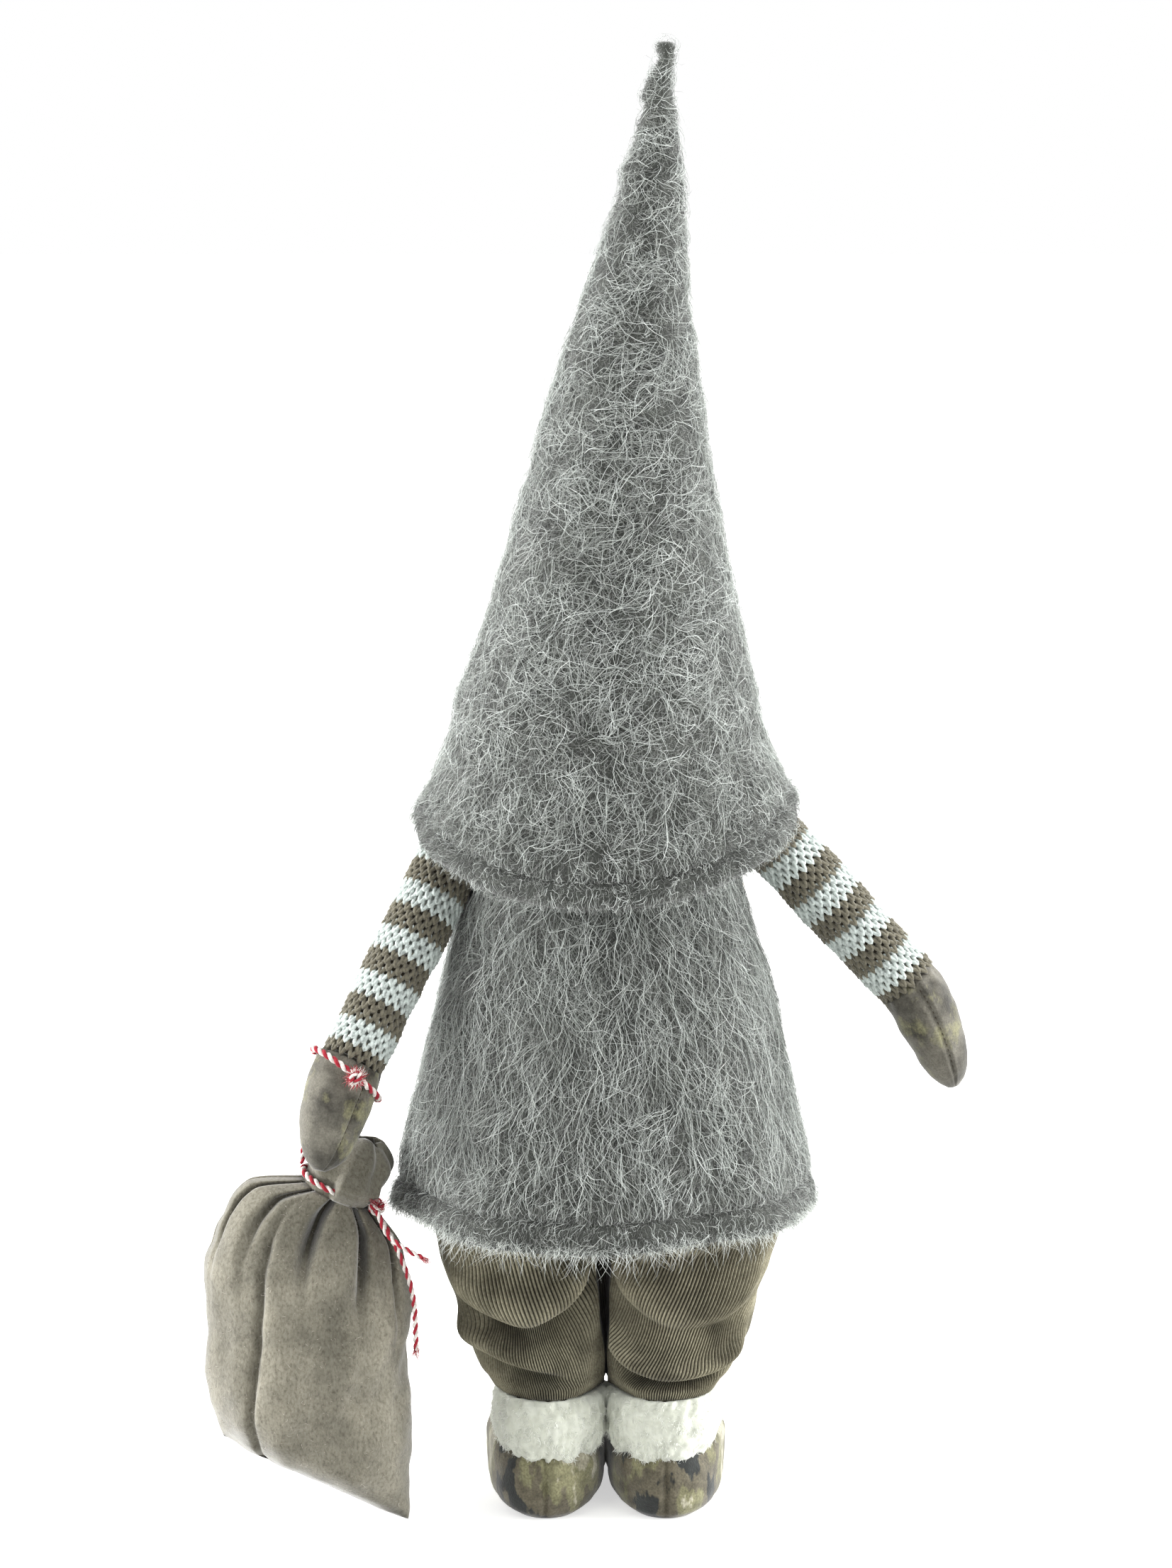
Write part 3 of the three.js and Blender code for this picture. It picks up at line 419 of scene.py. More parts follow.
# stage and light
stage = {"world": 0.42, "floor": srgb(214, 214, 212), "floorReach": 6, "floorDrop": -5e-5,
         "aim": (0, 0, 0.25), "glow": {"From Min": 0.06, "From Max": 0.32, "To Min": 0.55, "To Max": 1.0}}
lampRows = [
    # name, place, size, power
    ("lampKeyLeft", (1.25, 1.3, 1.3), 1.0, 9.5),
    ("lampKeyRight", (-1.3, 1.25, 1.15), 1.0, 10.0),
    ("lampTop", (0.0, 0.25, 1.7), 1.2, 16.0),
    ("lampLow", (0.0, 1.9, 0.3), 0.9, 3.0),
    ("lampSideLeft", (1.5, 0.0, 0.5), 1.0, 48.0),
    ("lampSideRight", (-1.5, 0.0, 0.5), 1.0, 48.0),
]


def seenNode(tree):  # one where the camera or a shiny surface sees it
    path = newNode(tree, "LightPath", {}).outputs
    rays = {0: path["Is Camera Ray"], 1: path["Is Glossy Ray"]}
    return newNode(tree, "Math", rays, operation="ADD", use_clamp=True).outputs["Value"]


def buildStage():
    world = bpy.data.worlds.new("studio")
    scene.world = world
    world.use_nodes = True
    tree = world.node_tree
    lit = tree.nodes["Background"]
    setInputs(tree, lit, {"Color": white, "Strength": stage["world"]})
    plain = newNode(tree, "Background", {"Color": white, "Strength": 1.0})
    mix = newNode(tree, "MixShader", {"Fac": seenNode(tree), 1: lit.outputs[0], 2: plain.outputs[0]})
    setInputs(tree, tree.nodes["World Output"], {"Surface": mix.outputs[0]})
    for name, spot, size, power in lampRows:
        data = bpy.data.lights.new(name, "AREA")
        data.size, data.energy = size, power
        lamp = bpy.data.objects.new(name, data)
        lamp.location = spot
        lamp.rotation_euler = (Vector(stage["aim"]) - Vector(spot)).to_track_quat("-Z", "Y").to_euler()
        scene.collection.objects.link(lamp)
    far, drop = stage["floorReach"], stage["floorDrop"]
    mesh = bpy.data.meshes.new("floor")
    corners = [(-far, -far, drop), (far, -far, drop), (far, far, drop), (-far, far, drop)]
    mesh.from_pydata(corners, [], [(0, 1, 2, 3)])
    floor = bpy.data.objects.new("floor", mesh)
    scene.collection.objects.link(floor)
    made, tree, shader = newFinish("floorFinish", 1.0, 0.0, 0.0)
    spot = newNode(tree, "NewGeometry", {}).outputs["Position"]
    reach = newNode(tree, "VectorMath", {0: spot}, operation="LENGTH").outputs["Value"]
    # plain white away from the feet, shadow kept near them
    rise = newNode(tree, "MapRange", dict(stage["glow"], Value=reach), interpolation_type="SMOOTHSTEP")
    glow = newNode(tree, "Math", {0: seenNode(tree), 1: rise.outputs["Result"]}, operation="MULTIPLY")
    setInputs(tree, shader, {"Base Color": stage["floor"], "Emission Color": white,
                             "Emission Strength": glow.outputs["Value"]})
    floor.data.materials.append(made)
    scene.view_settings.view_transform = "Standard"


buildStage()
print("stage and light ready")


# arms: shoulder, direction and the hand's bend, shared by sleeves, mittens and twine
armRows = {
    "left": {"pivot": np.array([50.0, 0.0, 246.35]), "along": unit(np.array([39.0, 32.0, -75.736])),
             "length": 91.0, "handRadius": 12.0, "handFlat": 0.86, "handTop": 0.05,
             "handBend": np.array([-7.0, 0.0, -1.0]), "turns": (0, -12, -24, -34), "seams": (0.95, 4.2)},
    "right": {"pivot": np.array([-47.0, 0.0, 255.35]), "along": unit(np.array([-59.775, -2.0, -64.551])),
              "length": 88.0, "handRadius": 10.7, "handFlat": 1.04, "handTop": 0.1,
              "handBend": np.array([10.7, 0.0, -8.2]), "turns": (-16, -5, 6, 17), "seams": (1.35, 4.5)},
}
sleeveRadius, mittenLength = 11.8, 41.0
seatGap = 0.35  # between pieces that touch


def sleeveMiddle(arm, distance):
    return arm["pivot"] + arm["along"] * distance


def handMiddle(arm, distance):
    bend = arm["handBend"] * max(0.0, distance / mittenLength) ** 1.4
    return sleeveMiddle(arm, arm["length"] + distance) + bend


def shoulderRows(arm, radius, degrees, count):  # round end of a sleeve
    rows = []
    for bend in np.radians(degrees):
        near = radius * math.cos(bend)
        rows.append(limbRow(count, sleeveMiddle(arm, -radius * math.sin(bend)), arm["along"], near, near))
    return rows


# twine: two plies, one red and one white, with frayed ends
twine = {"loopRadius": 1.25, "tailRadius": 1.0, "turnLength": 5.2, "plySides": 6, "plyOut": 0.48,
         "plySize": 0.56, "loopSlack": 1.1, "loopTilt": -12.0, "hitchTurn": -60.0, "hitchRadius": 2.3,
         "knotRadius": 3.6, "neckWide": 12.2, "neckDeep": 10.6, "sackTilt": 24.0, "tieTurn": 150.0,
         "gap": 0.7, "red": (158, 36, 50), "white": (230, 223, 217), "pink": (194, 112, 116)}


def twineFinish(name, colour):
    return layeredFinish(name, (0.85, 0.15, 0.2), (0.7, 3), [(0.3, shaded(colour, 0.62)), (0.68, colour)],
                         relief=((0.35, 2), 0.2))


plies = [twineFinish("twineRed", srgb(*twine["red"])), twineFinish("twineWhite", srgb(*twine["white"]))]
frayFinish = fibreFinish("twineFray", [twine[key] for key in ("red", "white", "pink", "red")], root=0.8,
                         roughness=0.8)


def plyMesh(name, routes, radius, closed=False):  # two plies wound round each route
    skins = []
    for route in routes:
        one, two = routeFrames(route, closed)
        run = np.concatenate([[0], np.cumsum(np.linalg.norm(np.diff(route, axis=0), axis=1))])
        rounds = run / twine["turnLength"]
        if closed:  # a whole number of rounds
            whole = run[-1] + np.linalg.norm(route[0] - route[-1])
            rounds = run / whole * max(1, round(whole / twine["turnLength"]))
        for ply in range(2):
            out = radius * twine["plyOut"]
            middle = oval(route, one, two, out, out, upright(fullTurn * rounds + math.pi * ply))
            rows = tubeRows(middle, radius * twine["plySize"], twine["plySides"], closed)
            skins.append((rows, closed, ply))
    return joinSkins(name, skins)


def fray(name, spots, count, length, radius, spread, seed):  # loose fibres at cut ends: (place, direction)
    rng = np.random.default_rng(seed)
    roots, ways = (np.repeat(np.array(part, float), count, 0) for part in zip(*spots))
    roots = roots + rng.normal(size=roots.shape) * 0.5
    ways = unit(ways + rng.normal(size=roots.shape) * spread)
    size = rng.uniform(0.5, 1.0, len(roots)) * length
    paths = pilePaths(rng, roots, ways, ways, size, lift=0.5, curl=0.35)
    return fibreMesh(name, paths, radius, rng.integers(0, 4, len(roots)), 4, seed)


leftArm = armRows["left"]
leftAcross, leftDepth = squareTo(leftArm["along"])
# the loop lies a little off the square of the arm
loopAcross = spinY(twine["loopTilt"]) @ (leftAcross if leftAcross[0] > 0 else -leftAcross)
loopDepth = leftDepth if leftDepth[1] > 0 else -leftDepth
loopCentre = handMiddle(leftArm, 4.8)
loopWide = leftArm["handRadius"] + twine["loopSlack"] + twine["loopRadius"]
loopDeep = leftArm["handFlat"] * leftArm["handRadius"] + twine["loopSlack"] + twine["loopRadius"]
wristKnot = loopCentre + loopDepth * (loopDeep + twine["knotRadius"]) + [-1.5, 0, -2.4]
hitchOut = twine["loopRadius"] + seatGap + twine["hitchRadius"]
hitchPlace = oval(loopCentre, loopAcross, loopDepth, loopWide + hitchOut, loopDeep + hitchOut,
                  math.radians(twine["hitchTurn"]))
neck = handMiddle(leftArm, 0.0) + [5.8, -15.0, -48.6]
sackTilt = math.radians(twine["sackTilt"])
slant = np.array([math.cos(sackTilt), 0, math.sin(sackTilt)])
neckUp = np.array([-math.sin(sackTilt), 0, math.cos(sackTilt)])
tieWide, tieDeep = (twine[key] + seatGap + twine["loopRadius"] for key in ("neckWide", "neckDeep"))
tieKnot = oval(neck, slant, yAxis, tieWide + twine["knotRadius"], tieDeep + twine["knotRadius"],
               math.radians(twine["tieTurn"]))
hangerEnd = neck + slant * (tieWide + twine["tailRadius"]) + neckUp * (twine["loopRadius"] + seatGap)
twineRoutes = {
    "hanger": [hitchPlace + [0, 0, 0.4], hitchPlace + [0.3, 0, -2.65], hitchPlace + [1.6, -1.8, -15],
               hangerEnd + [-1.8, -1.2, 13], hangerEnd],
    "longTail": [tieKnot + p for p in ([0, 0, -1.5], [-1.5, 1.6, -3.8], [-5, 5, -9], [-9.5, 8, -18],
                                       [-13, 9, -30], [-14, 8.5, -50])],
    "shortTail": [tieKnot + p for p in ([0.6, -1.2, 0.6], [-1, 4, -2], [-4, 8, -7.5], [-10, 13, -11],
                                        [-17, 16, -14])],
}


def knotMesh(name, centre, radius, seed):  # a few tight turns of twine wound over each other
    rng = np.random.default_rng(seed)
    routes = []
    for k in range(3):
        across = unit(rng.normal(size=3))
        depth = unit(np.cross(across, rng.normal(size=3)))
        routes.append(ring(30, centre, across, depth, radius, radius * 0.8))
    return plyMesh(name, routes, twine["tailRadius"] * 0.95, True)


def buildTwine():
    cordRows = [("hanger", "sack_hanger_cord", "object"), ("longTail", "sack_tie_tail_long", "bare"),
                ("shortTail", "sack_tie_tail_short", "bare")]
    for key, node, end in cordRows:
        route = curve(twineRoutes[key], twine["gap"])
        made = plyMesh("twine." + key, [route], twine["tailRadius"])
        place(made, "sack", plies, "twine", [node])
        frayed = []
        if end == "bare":
            tuft = fray("twineFray." + key, [(route[-1], route[-1] - route[-4])], count=26, length=5.0,
                        radius=0.16, spread=0.5, seed=31)
            frayed = [place(tuft, "sack", frayFinish, "twine")]
    loop = ring(120, loopCentre, loopAcross, loopDepth, loopWide, loopDeep)
    tie = ring(120, neck, slant, yAxis, tieWide - 0.2, tieDeep - 0.2)
    for name, body, node, route, radius in (
            ("twine.wristLoop", "left_arm", "wrist_cord", loop, twine["loopRadius"]),
            ("twine.sackTie", "sack", "sack_tie", tie, 1.2)):
        place(plyMesh(name, [route], radius, True), body, plies, "twine", [node])
    for name, body, node, spot, radius, seed in (
            ("twine.wristKnot", "left_arm", "wrist_knot", wristKnot, 2.4, 5),
            ("twine.tieKnot", "sack", "sack_tie_knot", tieKnot, 2.4, 6),
            ("twine.hitch", "sack_hook", "hanger_hitch", hitchPlace, 1.5, 7)):
        place(knotMesh(name, spot, radius, seed), body, plies, "twine", [node])
    rng = np.random.default_rng(8)
    petals = []
    for angle in turn(9):
        way = oval(loopDepth * 0.45, loopAcross, np.cross(loopDepth, loopAcross), 1, 1, angle)
        petals.append((wristKnot + unit(way) * 1.5, unit(way + rng.normal(size=3) * 0.15)))
    tuft = fray("twineFray.wristKnot", petals, count=22, length=4.2, radius=0.14, spread=0.22, seed=33)
    place(tuft, "left_arm", frayFinish, "twine")
    tufts = [(tieKnot + np.array(w) * 1.5, unit(np.array(w))) for w in ((0.2, 0.9, 0.7), (-0.8, 0.5, 0.5))]
    tuft = fray("twineFray.tieKnot", tufts, count=30, length=5.5, radius=0.15, spread=0.35, seed=34)
    place(tuft, "sack", frayFinish, "twine")


buildTwine()
print("twine tied")


# boots: velvet uppers with a seam up the heel
boot = {"axis": 21.45, "heel": 29.5, "toe": 57.0, "width": 41.5, "height": 47.0, "round": 5.0,
        "ankleWidth": 29.0, "ankleBack": 23.0, "ankleFront": 14.0, "sides": 120, "rows": 56, "seam": 1.7,
        "slate": srgb(48, 52, 51), "brown": srgb(118, 112, 94), "olive": srgb(150, 148, 114),
        "tan": srgb(210, 206, 184)}
bootSide = [[0, 0], [0.46, 0], [0.56, 0.16], [0.66, 0.5], [0.78, 0.92], [0.88, 1], [1, 1]]
bootHeel = [[0, 0], [0.36, 0], [0.46, 0.3], [0.58, 0.85], [0.7, 1], [1, 1]]
bootToe = [[0, 0], [0.38, 0.03], [0.52, 0.14], [0.66, 0.45], [0.78, 0.82], [0.88, 1], [1, 1]]
bootEdge = [[0, 1], [0.06, 0.3], [0.2, 0], [1, 0]]
ankleMiddle = (boot["ankleBack"] - boot["ankleFront"]) / 2
ankleDeep = (boot["ankleBack"] + boot["ankleFront"]) / 2


def bootRow(side, share):
    heelTurn, toeTurn = through(bootHeel, share), through(bootToe, share)
    inset = boot["round"] * through(bootEdge, share)
    heel = lerp(boot["heel"], boot["ankleBack"], heelTurn) - inset
    toe = lerp(boot["toe"], boot["ankleFront"], toeTurn) - inset
    mean = (heelTurn + toeTurn) / 2
    half = lerp(boot["width"], boot["ankleWidth"], through(bootSide, share)) / 2 - inset
    angle = turn(boot["sides"])
    fuller = 1 + 0.05 * (1 - mean) * np.sin(2 * angle) ** 2
    row = levelRow(boot["sides"], side * boot["axis"], (heel - toe) / 2, share * boot["height"],
                   half * fuller, (heel + toe) / 2 * fuller)
    out = unit(row - row.mean(0))
    twin = row * [side, 1, 1]  # both boots have the same lumps
    lumps = 0.6 * wobble(twin, 22, 41) + 0.2 * wobble(twin, 9, 42)
    fromHeel, fromToe = angle - math.pi / 2, angle - 1.5 * math.pi
    seams = 0.5 * (bump(fromHeel - 0.13, 0.06) + bump(fromHeel + 0.13, 0.06))
    seams = seams - boot["seam"] * (bump(fromHeel, 0.05) + 0.6 * bump(fromToe, 0.03))
    press = 1.2 * clamp(-side * np.cos(angle)) ** 4 * (1 - mean)  # the boots press on each other
    full = 1.3 * clamp(side * np.cos(angle)) ** 2 * (1 - through(bootSide, share))
    row += out * upright((lumps - 0.3 + press + full + seams) * clamp(share / 0.08))
    row[:, 0] = side * np.maximum(row[:, 0] * side, -0.05)
    return row


# mottled patches of slate, brown, olive and tan
velvet = layeredFinish(
    "velvet", (0.8, 0.4, 0.25), (19, 5, (1, 1, 0.5), 0.58),
    [(0.0, boot["slate"]), (0.43, boot["slate"]), (0.45, boot["brown"]), (0.52, boot["brown"]),
     (0.545, boot["olive"]), (0.6, boot["olive"]), (0.63, boot["tan"])],
    [(0.85, (6, 4), [(0.3, srgb(150, 148, 142)), (0.68, white)]),
     (0.8, (0.8, 3), [(0.3, srgb(170, 168, 164)), (0.7, white)])], relief=((0.7, 3), 0.3))


def buildBoots():
    shares = np.concatenate([[0], np.linspace(0.015, 1, boot["rows"])])
    for name, side in sides:
        made = loft(name + "Boot", [bootRow(side, s) for s in shares])
        place(made, "figure", velvet, "velvet", [name + "_boot"], fill=0.9)


buildBoots()
print("boots made")


# boot cuffs: white curly fleece
cuff = {"lowBack": 20.5, "frontRise": 11.0, "top": 44.0, "thick": 5.2, "sides": 220, "section": 48,
        "curls": 5200, "seeds": {1: 52, -1: 53}, "white": srgb(208, 211, 200), "shade": srgb(197, 200, 187),
        "curlShades": [(240, 242, 234), (234, 237, 227), (228, 231, 220), (237, 239, 230)]}


def fleece(made):  # light runs a little way into the fleece
    tree = made.node_tree
    setInputs(tree, tree.nodes["Principled BSDF"], {
        "Subsurface Weight": 0.5, "Subsurface Radius": (1.0, 1.0, 0.9), "Subsurface Scale": 2.0 * mm})
    return made


fleeceFinish = fleece(clothFinish("fleece", cuff["shade"], cuff["white"], patch=5.0, grain=1.6,
                                  roughness=0.95, sheen=0.3, depth=0.4, low=238))
fleeceFibre = fleece(fibreFinish("fleeceCurl", cuff["curlShades"], root=0.97, roughness=0.8, sheen=0.3))


def cuffRows(side):
    angle = turn(cuff["sides"])
    wide, deep = boot["ankleWidth"] / 2 + 1.5, ankleDeep + 1.6
    forward = (1 - np.sin(angle)) / 2
    low = cuff["lowBack"] + cuff["frontRise"] * forward
    low = low + 0.8 * np.sin(9 * angle) + 0.6 * np.sin(17 * angle + 1)
    rows = []
    for bend in turn(cuff["section"]):
        out = 0.6 + (cuff["thick"] / 2) * math.cos(bend) * 1.12
        rise = np.sign(math.sin(bend)) * abs(math.sin(bend)) ** 0.75
        height = (low + cuff["top"]) / 2 + (cuff["top"] - low) / 2 * rise
        press = 3.2 * clamp(-side * np.cos(angle)) ** 2 if out > 0 else 0.0
        x = side * np.maximum(boot["axis"] + (wide + out) * np.cos(angle) * side - press, 0.0)
        row = np.stack([x, ankleMiddle + (deep + out) * np.sin(angle), height], -1)
        twin = row * [side, 1, 1]  # both cuffs have the same lumps
        lumps = 0.5 * wobble(twin, 8, 51) + 0.6 * wobble(twin, 3.6, 58) + 0.35 * wobble(twin, 2.4, 59)
        rows.append(oval(row, xAxis, yAxis, upright(lumps), upright(lumps), upright(angle)))
    return np.array(rows)


def buildCuffs():
    for name, side in sides:
        rows = cuffRows(side)
        made = loft(name + "Cuff", rows, wrap=True)
        place(made, "figure", fleeceFinish, "fleece", [name + "_boot_cuff"], fill=0.6)
        rng = np.random.default_rng(cuff["seeds"][side])
        outer = np.roll(rows, len(rows) // 2, 0)[6:-5]  # without the rows against the boot
        spot, out = scatter(outer, cuff["curls"] // thinner, rng)
        drift = np.stack([wobble(spot, 7, 55), wobble(spot, 7, 56), 0.6 * wobble(spot, 6, 57) - 0.75], -1)
        lay = unit(drift + rng.normal(size=spot.shape) * 0.35)
        curls = pilePaths(rng, spot, out, lay, rng.uniform(1.4, 2.8, len(spot)), lift=0.22, curl=0.3)
        thick = rng.uniform(0.12, 0.2, len(spot))
        made = fibreMesh(name + "CuffCurls", curls, thick, rng.integers(0, 4, len(spot)), 4, 54)
        place(made, "figure", fleeceFibre, "fleece")


buildCuffs()
print("cuffs made")


# trousers: corduroy with real wales, folds where the legs bag over the cuffs
leg = {"bottom": 44.35, "length": 74.0, "width": 61.0, "depth": 60.0, "cloth": 2.0, "ease": 1.4,
       "spacing": 1.6, "wales": 132, "waleDepth": 0.45, "perWale": 6, "rows": 104, "touch": -0.1,
       "twist": {1: 0.005, -1: -0.009}, "parting": {1: 3.0, -1: 1.1}, "partingFrom": 54.0,
       "partingRise": 30.0, "hemFolds": 47.0,
       "dark": srgb(108, 105, 90), "light": srgb(182, 178, 156), "valley": srgb(54, 51, 41)}
legSwell = [[0, 0], [0.09, 0.3], [0.2, 0.46], [0.27, 0.56], [0.45, 0.7], [0.62, 0.88], [0.85, 1], [1, 0.9]]
legFolds = {
    # line of the fold as turn and height, depth, half height, fullness of the cloth above
    1: [([[0.3, 80], [0.9, 74], [1.5, 69.5], [2.0, 74], [2.5, 86], [2.95, 101]], 11.0, 4.0, 5.0),
        ([[1.5, 112], [2.2, 103], [2.95, 90]], 5.0, 2.8, 3.0),
        ([[-0.2, 64], [1.0, 56], [2.2, 51]], 4.0, 2.0, 2.4),
        ([[3.9, 66], [4.6, 72], [5.4, 78]], 3.0, 3.4, 1.8)],
    -1: [([[0.15, 71], [0.5, 61], [1.0, 53.5], [1.49, 51], [2.12, 53], [2.9, 60]], 8.0, 1.8, 5.0),
         ([[0.2, 90], [0.8, 77], [1.5, 71], [2.1, 72], [2.8, 79]], 3.0, 3.6, 2.4),
         ([[0.6, 104], [1.4, 98], [2.5, 103]], 2.6, 3.2, 1.8),
         ([[3.9, 74], [4.7, 69], [5.5, 76]], 3.0, 3.4, 1.8)],
}
seat = {"bottom": 118.7, "tall": 22.0, "halfWidth": 62.0, "halfDepth": 50.0, "inset": 0.4, "sides": 420,
        "wales": 140}
# share of the height, of the half width and of the half depth
seatRows = [(0, 0.9, 0.5), (0.04, 0.945, 0.6), (0.25, 0.99, 0.82), (0.5, 1, 0.94), (0.75, 0.995, 0.99),
            (1, 0.965, 0.965)]


def legRow(side, share, inward=0.0, ribbed=True):
    swell = through(legSwell, share)
    around = seatGap + leg["cloth"]
    half = lerp(boot["ankleWidth"] / 2 + around + leg["ease"], leg["width"] / 2, swell)
    deep = lerp(ankleDeep + around, leg["depth"] / 2, swell)
    outward = max(boot["axis"], leg["spacing"] / 2 + half)
    count = leg["wales"] * leg["perWale"]
    height = leg["bottom"] + share * leg["length"]
    angle = turn(count) - leg["twist"][side] * (height - 80)  # the wales wind a little round the leg
    out = np.stack([np.cos(angle), np.sin(angle), 0 * angle], -1)
    middle = np.array([side * outward, lerp(ankleMiddle, 0, share), height])
    row = middle + out * [half - inward, deep - inward, 0]
    push = 0.7 * wobble(row, 30, 61) + 0.4 * wobble(row, 14, 62)
    facing = clamp(-0.82 * side * np.cos(angle) - 0.57 * np.sin(angle))
    push += (8.6 + 1.4 * (1 - swell) ** 2) * facing ** 6  # the legs press on each other, open to the back
    place = angle % fullTurn
    for line, depth, tall, full in legFolds[side] if ribbed else []:
        line = np.array(line)
        ends = smooth(clamp((place - line[0, 0]) / 0.5) * clamp((line[-1, 0] - place) / 0.5))
        gap = height - through(line, place)
        valley = bump(np.where(gap > 0, 1.5 * gap, 0.3 * gap), tall) * clamp((height - leg["hemFolds"]) / 4)
        push += ends * (full * bump(gap - 2.4 * tall, 2.0 * tall) - depth * valley)
    if ribbed:
        wave = np.cos(leg["wales"] * turn(count))
        push += leg["waleDepth"] * (np.sign(wave) * np.abs(wave) ** 0.7 - 0.6)
    row = row + out * upright(push)
    rise = clamp((height - leg["partingFrom"]) / leg["partingRise"])
    parting = 0.5 + leg["parting"][side] * rise + 0.25 * math.sin(0.3 * height)  # a slot below the seat
    parting = parting * clamp(2.5 + 7 * np.sin(angle))
    row[:, 0] = side * np.maximum(row[:, 0] * side, leg["touch"] + inward + parting)
    return row


def corduroyFinish(name, dark, light):
    worn = (0.85, (0.9, 3), [(0.25, srgb(176, 172, 164)), (0.75, srgb(255, 253, 248))])
    # painted shade deep in the folds, between the legs and under the hem
    return layeredFinish(name, (0.9, 0.15, 0.2), (16, 4), [(0.3, dark), (0.7, light)], [worn],
                         paintedShade=(28, 0.92), relief=((0.45, 2), 0.25))


corduroy = corduroyFinish("corduroy", leg["dark"], leg["light"])
# a darker copy of the corduroy for the grooves between wales: painted shade
corduroyValleyShade = corduroyFinish("corduroyValleyShade", leg["valley"], leg["dark"])


def buildTrousers():
    for name, side in sides:
        outer = [legRow(side, s) for s in np.linspace(0, 1, leg["rows"])]
        inner = [legRow(side, s, leg["cloth"] + 10.0 * math.sin(math.pi * s) ** 0.6, False)
                 for s in np.linspace(1, 0, 14)]
        made = loft(name + "TrouserLeg", outer + inner, True)
        face = np.arange(len(made.data.polygons))
        ribs = face < (leg["rows"] - 1) * leg["wales"] * leg["perWale"]
        valley = ribs & np.isin(face % leg["perWale"], (2, 3))  # faces between two wales, given the darker finish as painted shade in the grooves
        made.data.polygons.foreach_set("material_index", valley.astype(np.int32))
        place(made, "figure", [corduroy, corduroyValleyShade], "corduroy", [name + "_trouser_leg"], fill=0.7)
    wave = 0.3 * np.cos(seat["wales"] * turn(seat["sides"])) - seat["inset"]
    rows = [levelRow(seat["sides"], 0, 0, seat["bottom"] + seat["tall"] * t,
                     wide * seat["halfWidth"] + wave, deep * seat["halfDepth"] + wave)
            for t, wide, deep in seatRows]
    place(loft("trouserSeat", rows), "figure", corduroy, "corduroy", ["trouser_seat"], fill=0.8)


buildTrousers()
print("trousers made")


# sleeves: open zigzag knit, each round of yarn crossing the next, white and taupe stripes, over a lining in
# darker copies of the stripe colours: painted shade seen through the knit
knit = {"columns": 19, "rowHeight": 2.2, "stripe": 4, "first": 2, "yarn": 0.7, "zigzag": 2.25, "weave": 0.5,
        "sides": 6, "samples": 12, "start": -8.0, "end": 2.2, "yarnIn": 0.95, "liningIn": 1.75,
        "taperFrom": 45.0, "white": srgb(190, 199, 195), "taupe": srgb(104, 100, 86),
        "liningWhiteShade": srgb(168, 174, 169), "liningTaupeShade": srgb(76, 71, 58)}


def yarnFinish(name, colour):
    stops = [(0.32, shaded(colour, 0.55)), (0.52, colour), (0.7, shaded(colour, 1.18))]
    return layeredFinish(name, (0.9, 0.3, 0.2), (1.6, 4), stops, relief=((0.3, 3), 0.25))


yarns = [yarnFinish("yarnWhite", knit["white"]), yarnFinish("yarnTaupe", knit["taupe"])]
# darker copies of the yarn colours for the lining: painted shade behind the open knit
shadedLinings = [yarnFinish(name, knit[name]) for name in ("liningWhiteShade", "liningTaupeShade")]


def stripeSlot(row):
    return 1 - ((row + knit["first"]) // knit["stripe"]) % 2


def sleeveTaper(distance):
    return 1 - 0.03 * np.clip((distance - knit["taperFrom"]) / knit["taperFrom"], 0, None)


def knitSleeve(name, arm):
    across, depth = squareTo(arm["along"])
    rowCount = int((arm["length"] - knit["start"] - 1.0) / knit["rowHeight"])
    around = turn(knit["columns"] * knit["samples"])
    skins = []
    for row in range(rowCount):
        height = arm["length"] - knit["end"] - row * knit["rowHeight"]
        t = around * knit["columns"] + math.pi * (row % 2)
        angle = around + 0.03 * np.sin(0.7 * row)
        drop = height + knit["zigzag"] * np.arcsin(0.93 * np.sin(t)) / math.asin(0.93)
        taper = np.maximum(sleeveTaper(drop), 0.97) - 0.03 * bump(drop - arm["length"], 4)
        size = (sleeveRadius - knit["yarnIn"]) * taper + knit["weave"] * np.sin(t)
        size = size * np.sqrt(1 - np.clip(drop / sleeveRadius, -0.98, 0) ** 2)
        out = oval(0, across, depth, 1, 1, upright(angle))
        spot = sleeveMiddle(arm, upright(drop)) + out * upright(size)
        spot = spot + out * upright(0.5 * wobble(spot, 24, 71) + 0.2 * wobble(spot, 7, 72))
        thick = knit["yarn"] * (1 + 0.15 * np.sin(5 * t + row))
        skins.append((tubeRows(spot, thick, knit["sides"], True), True, stripeSlot(row)))
    return joinSkins(name, skins)


def sleeveLining(name, arm):
    count = 4 * knit["columns"]
    size = sleeveRadius - knit["liningIn"]
    rows = shoulderRows(arm, size, (82, 60, 38, 18), count)
    slots = [0] * len(rows)
    zigzag = 1.2 * np.cos(knit["columns"] * turn(count))  # edges of the stripes run in and out
    for distance in np.arange(0, arm["length"] - 0.5, knit["rowHeight"]):
        near = size * sleeveTaper(distance)
        level = limbRow(count, sleeveMiddle(arm, distance), arm["along"], near, near)
        rows.append(level + np.outer(zigzag * (0 < distance < arm["length"] - 4), arm["along"]))
        slots.append(stripeSlot(int((arm["length"] - knit["end"] - distance) / knit["rowHeight"])))
    return loft(name, rows, slots=np.array(slots[:-1]))


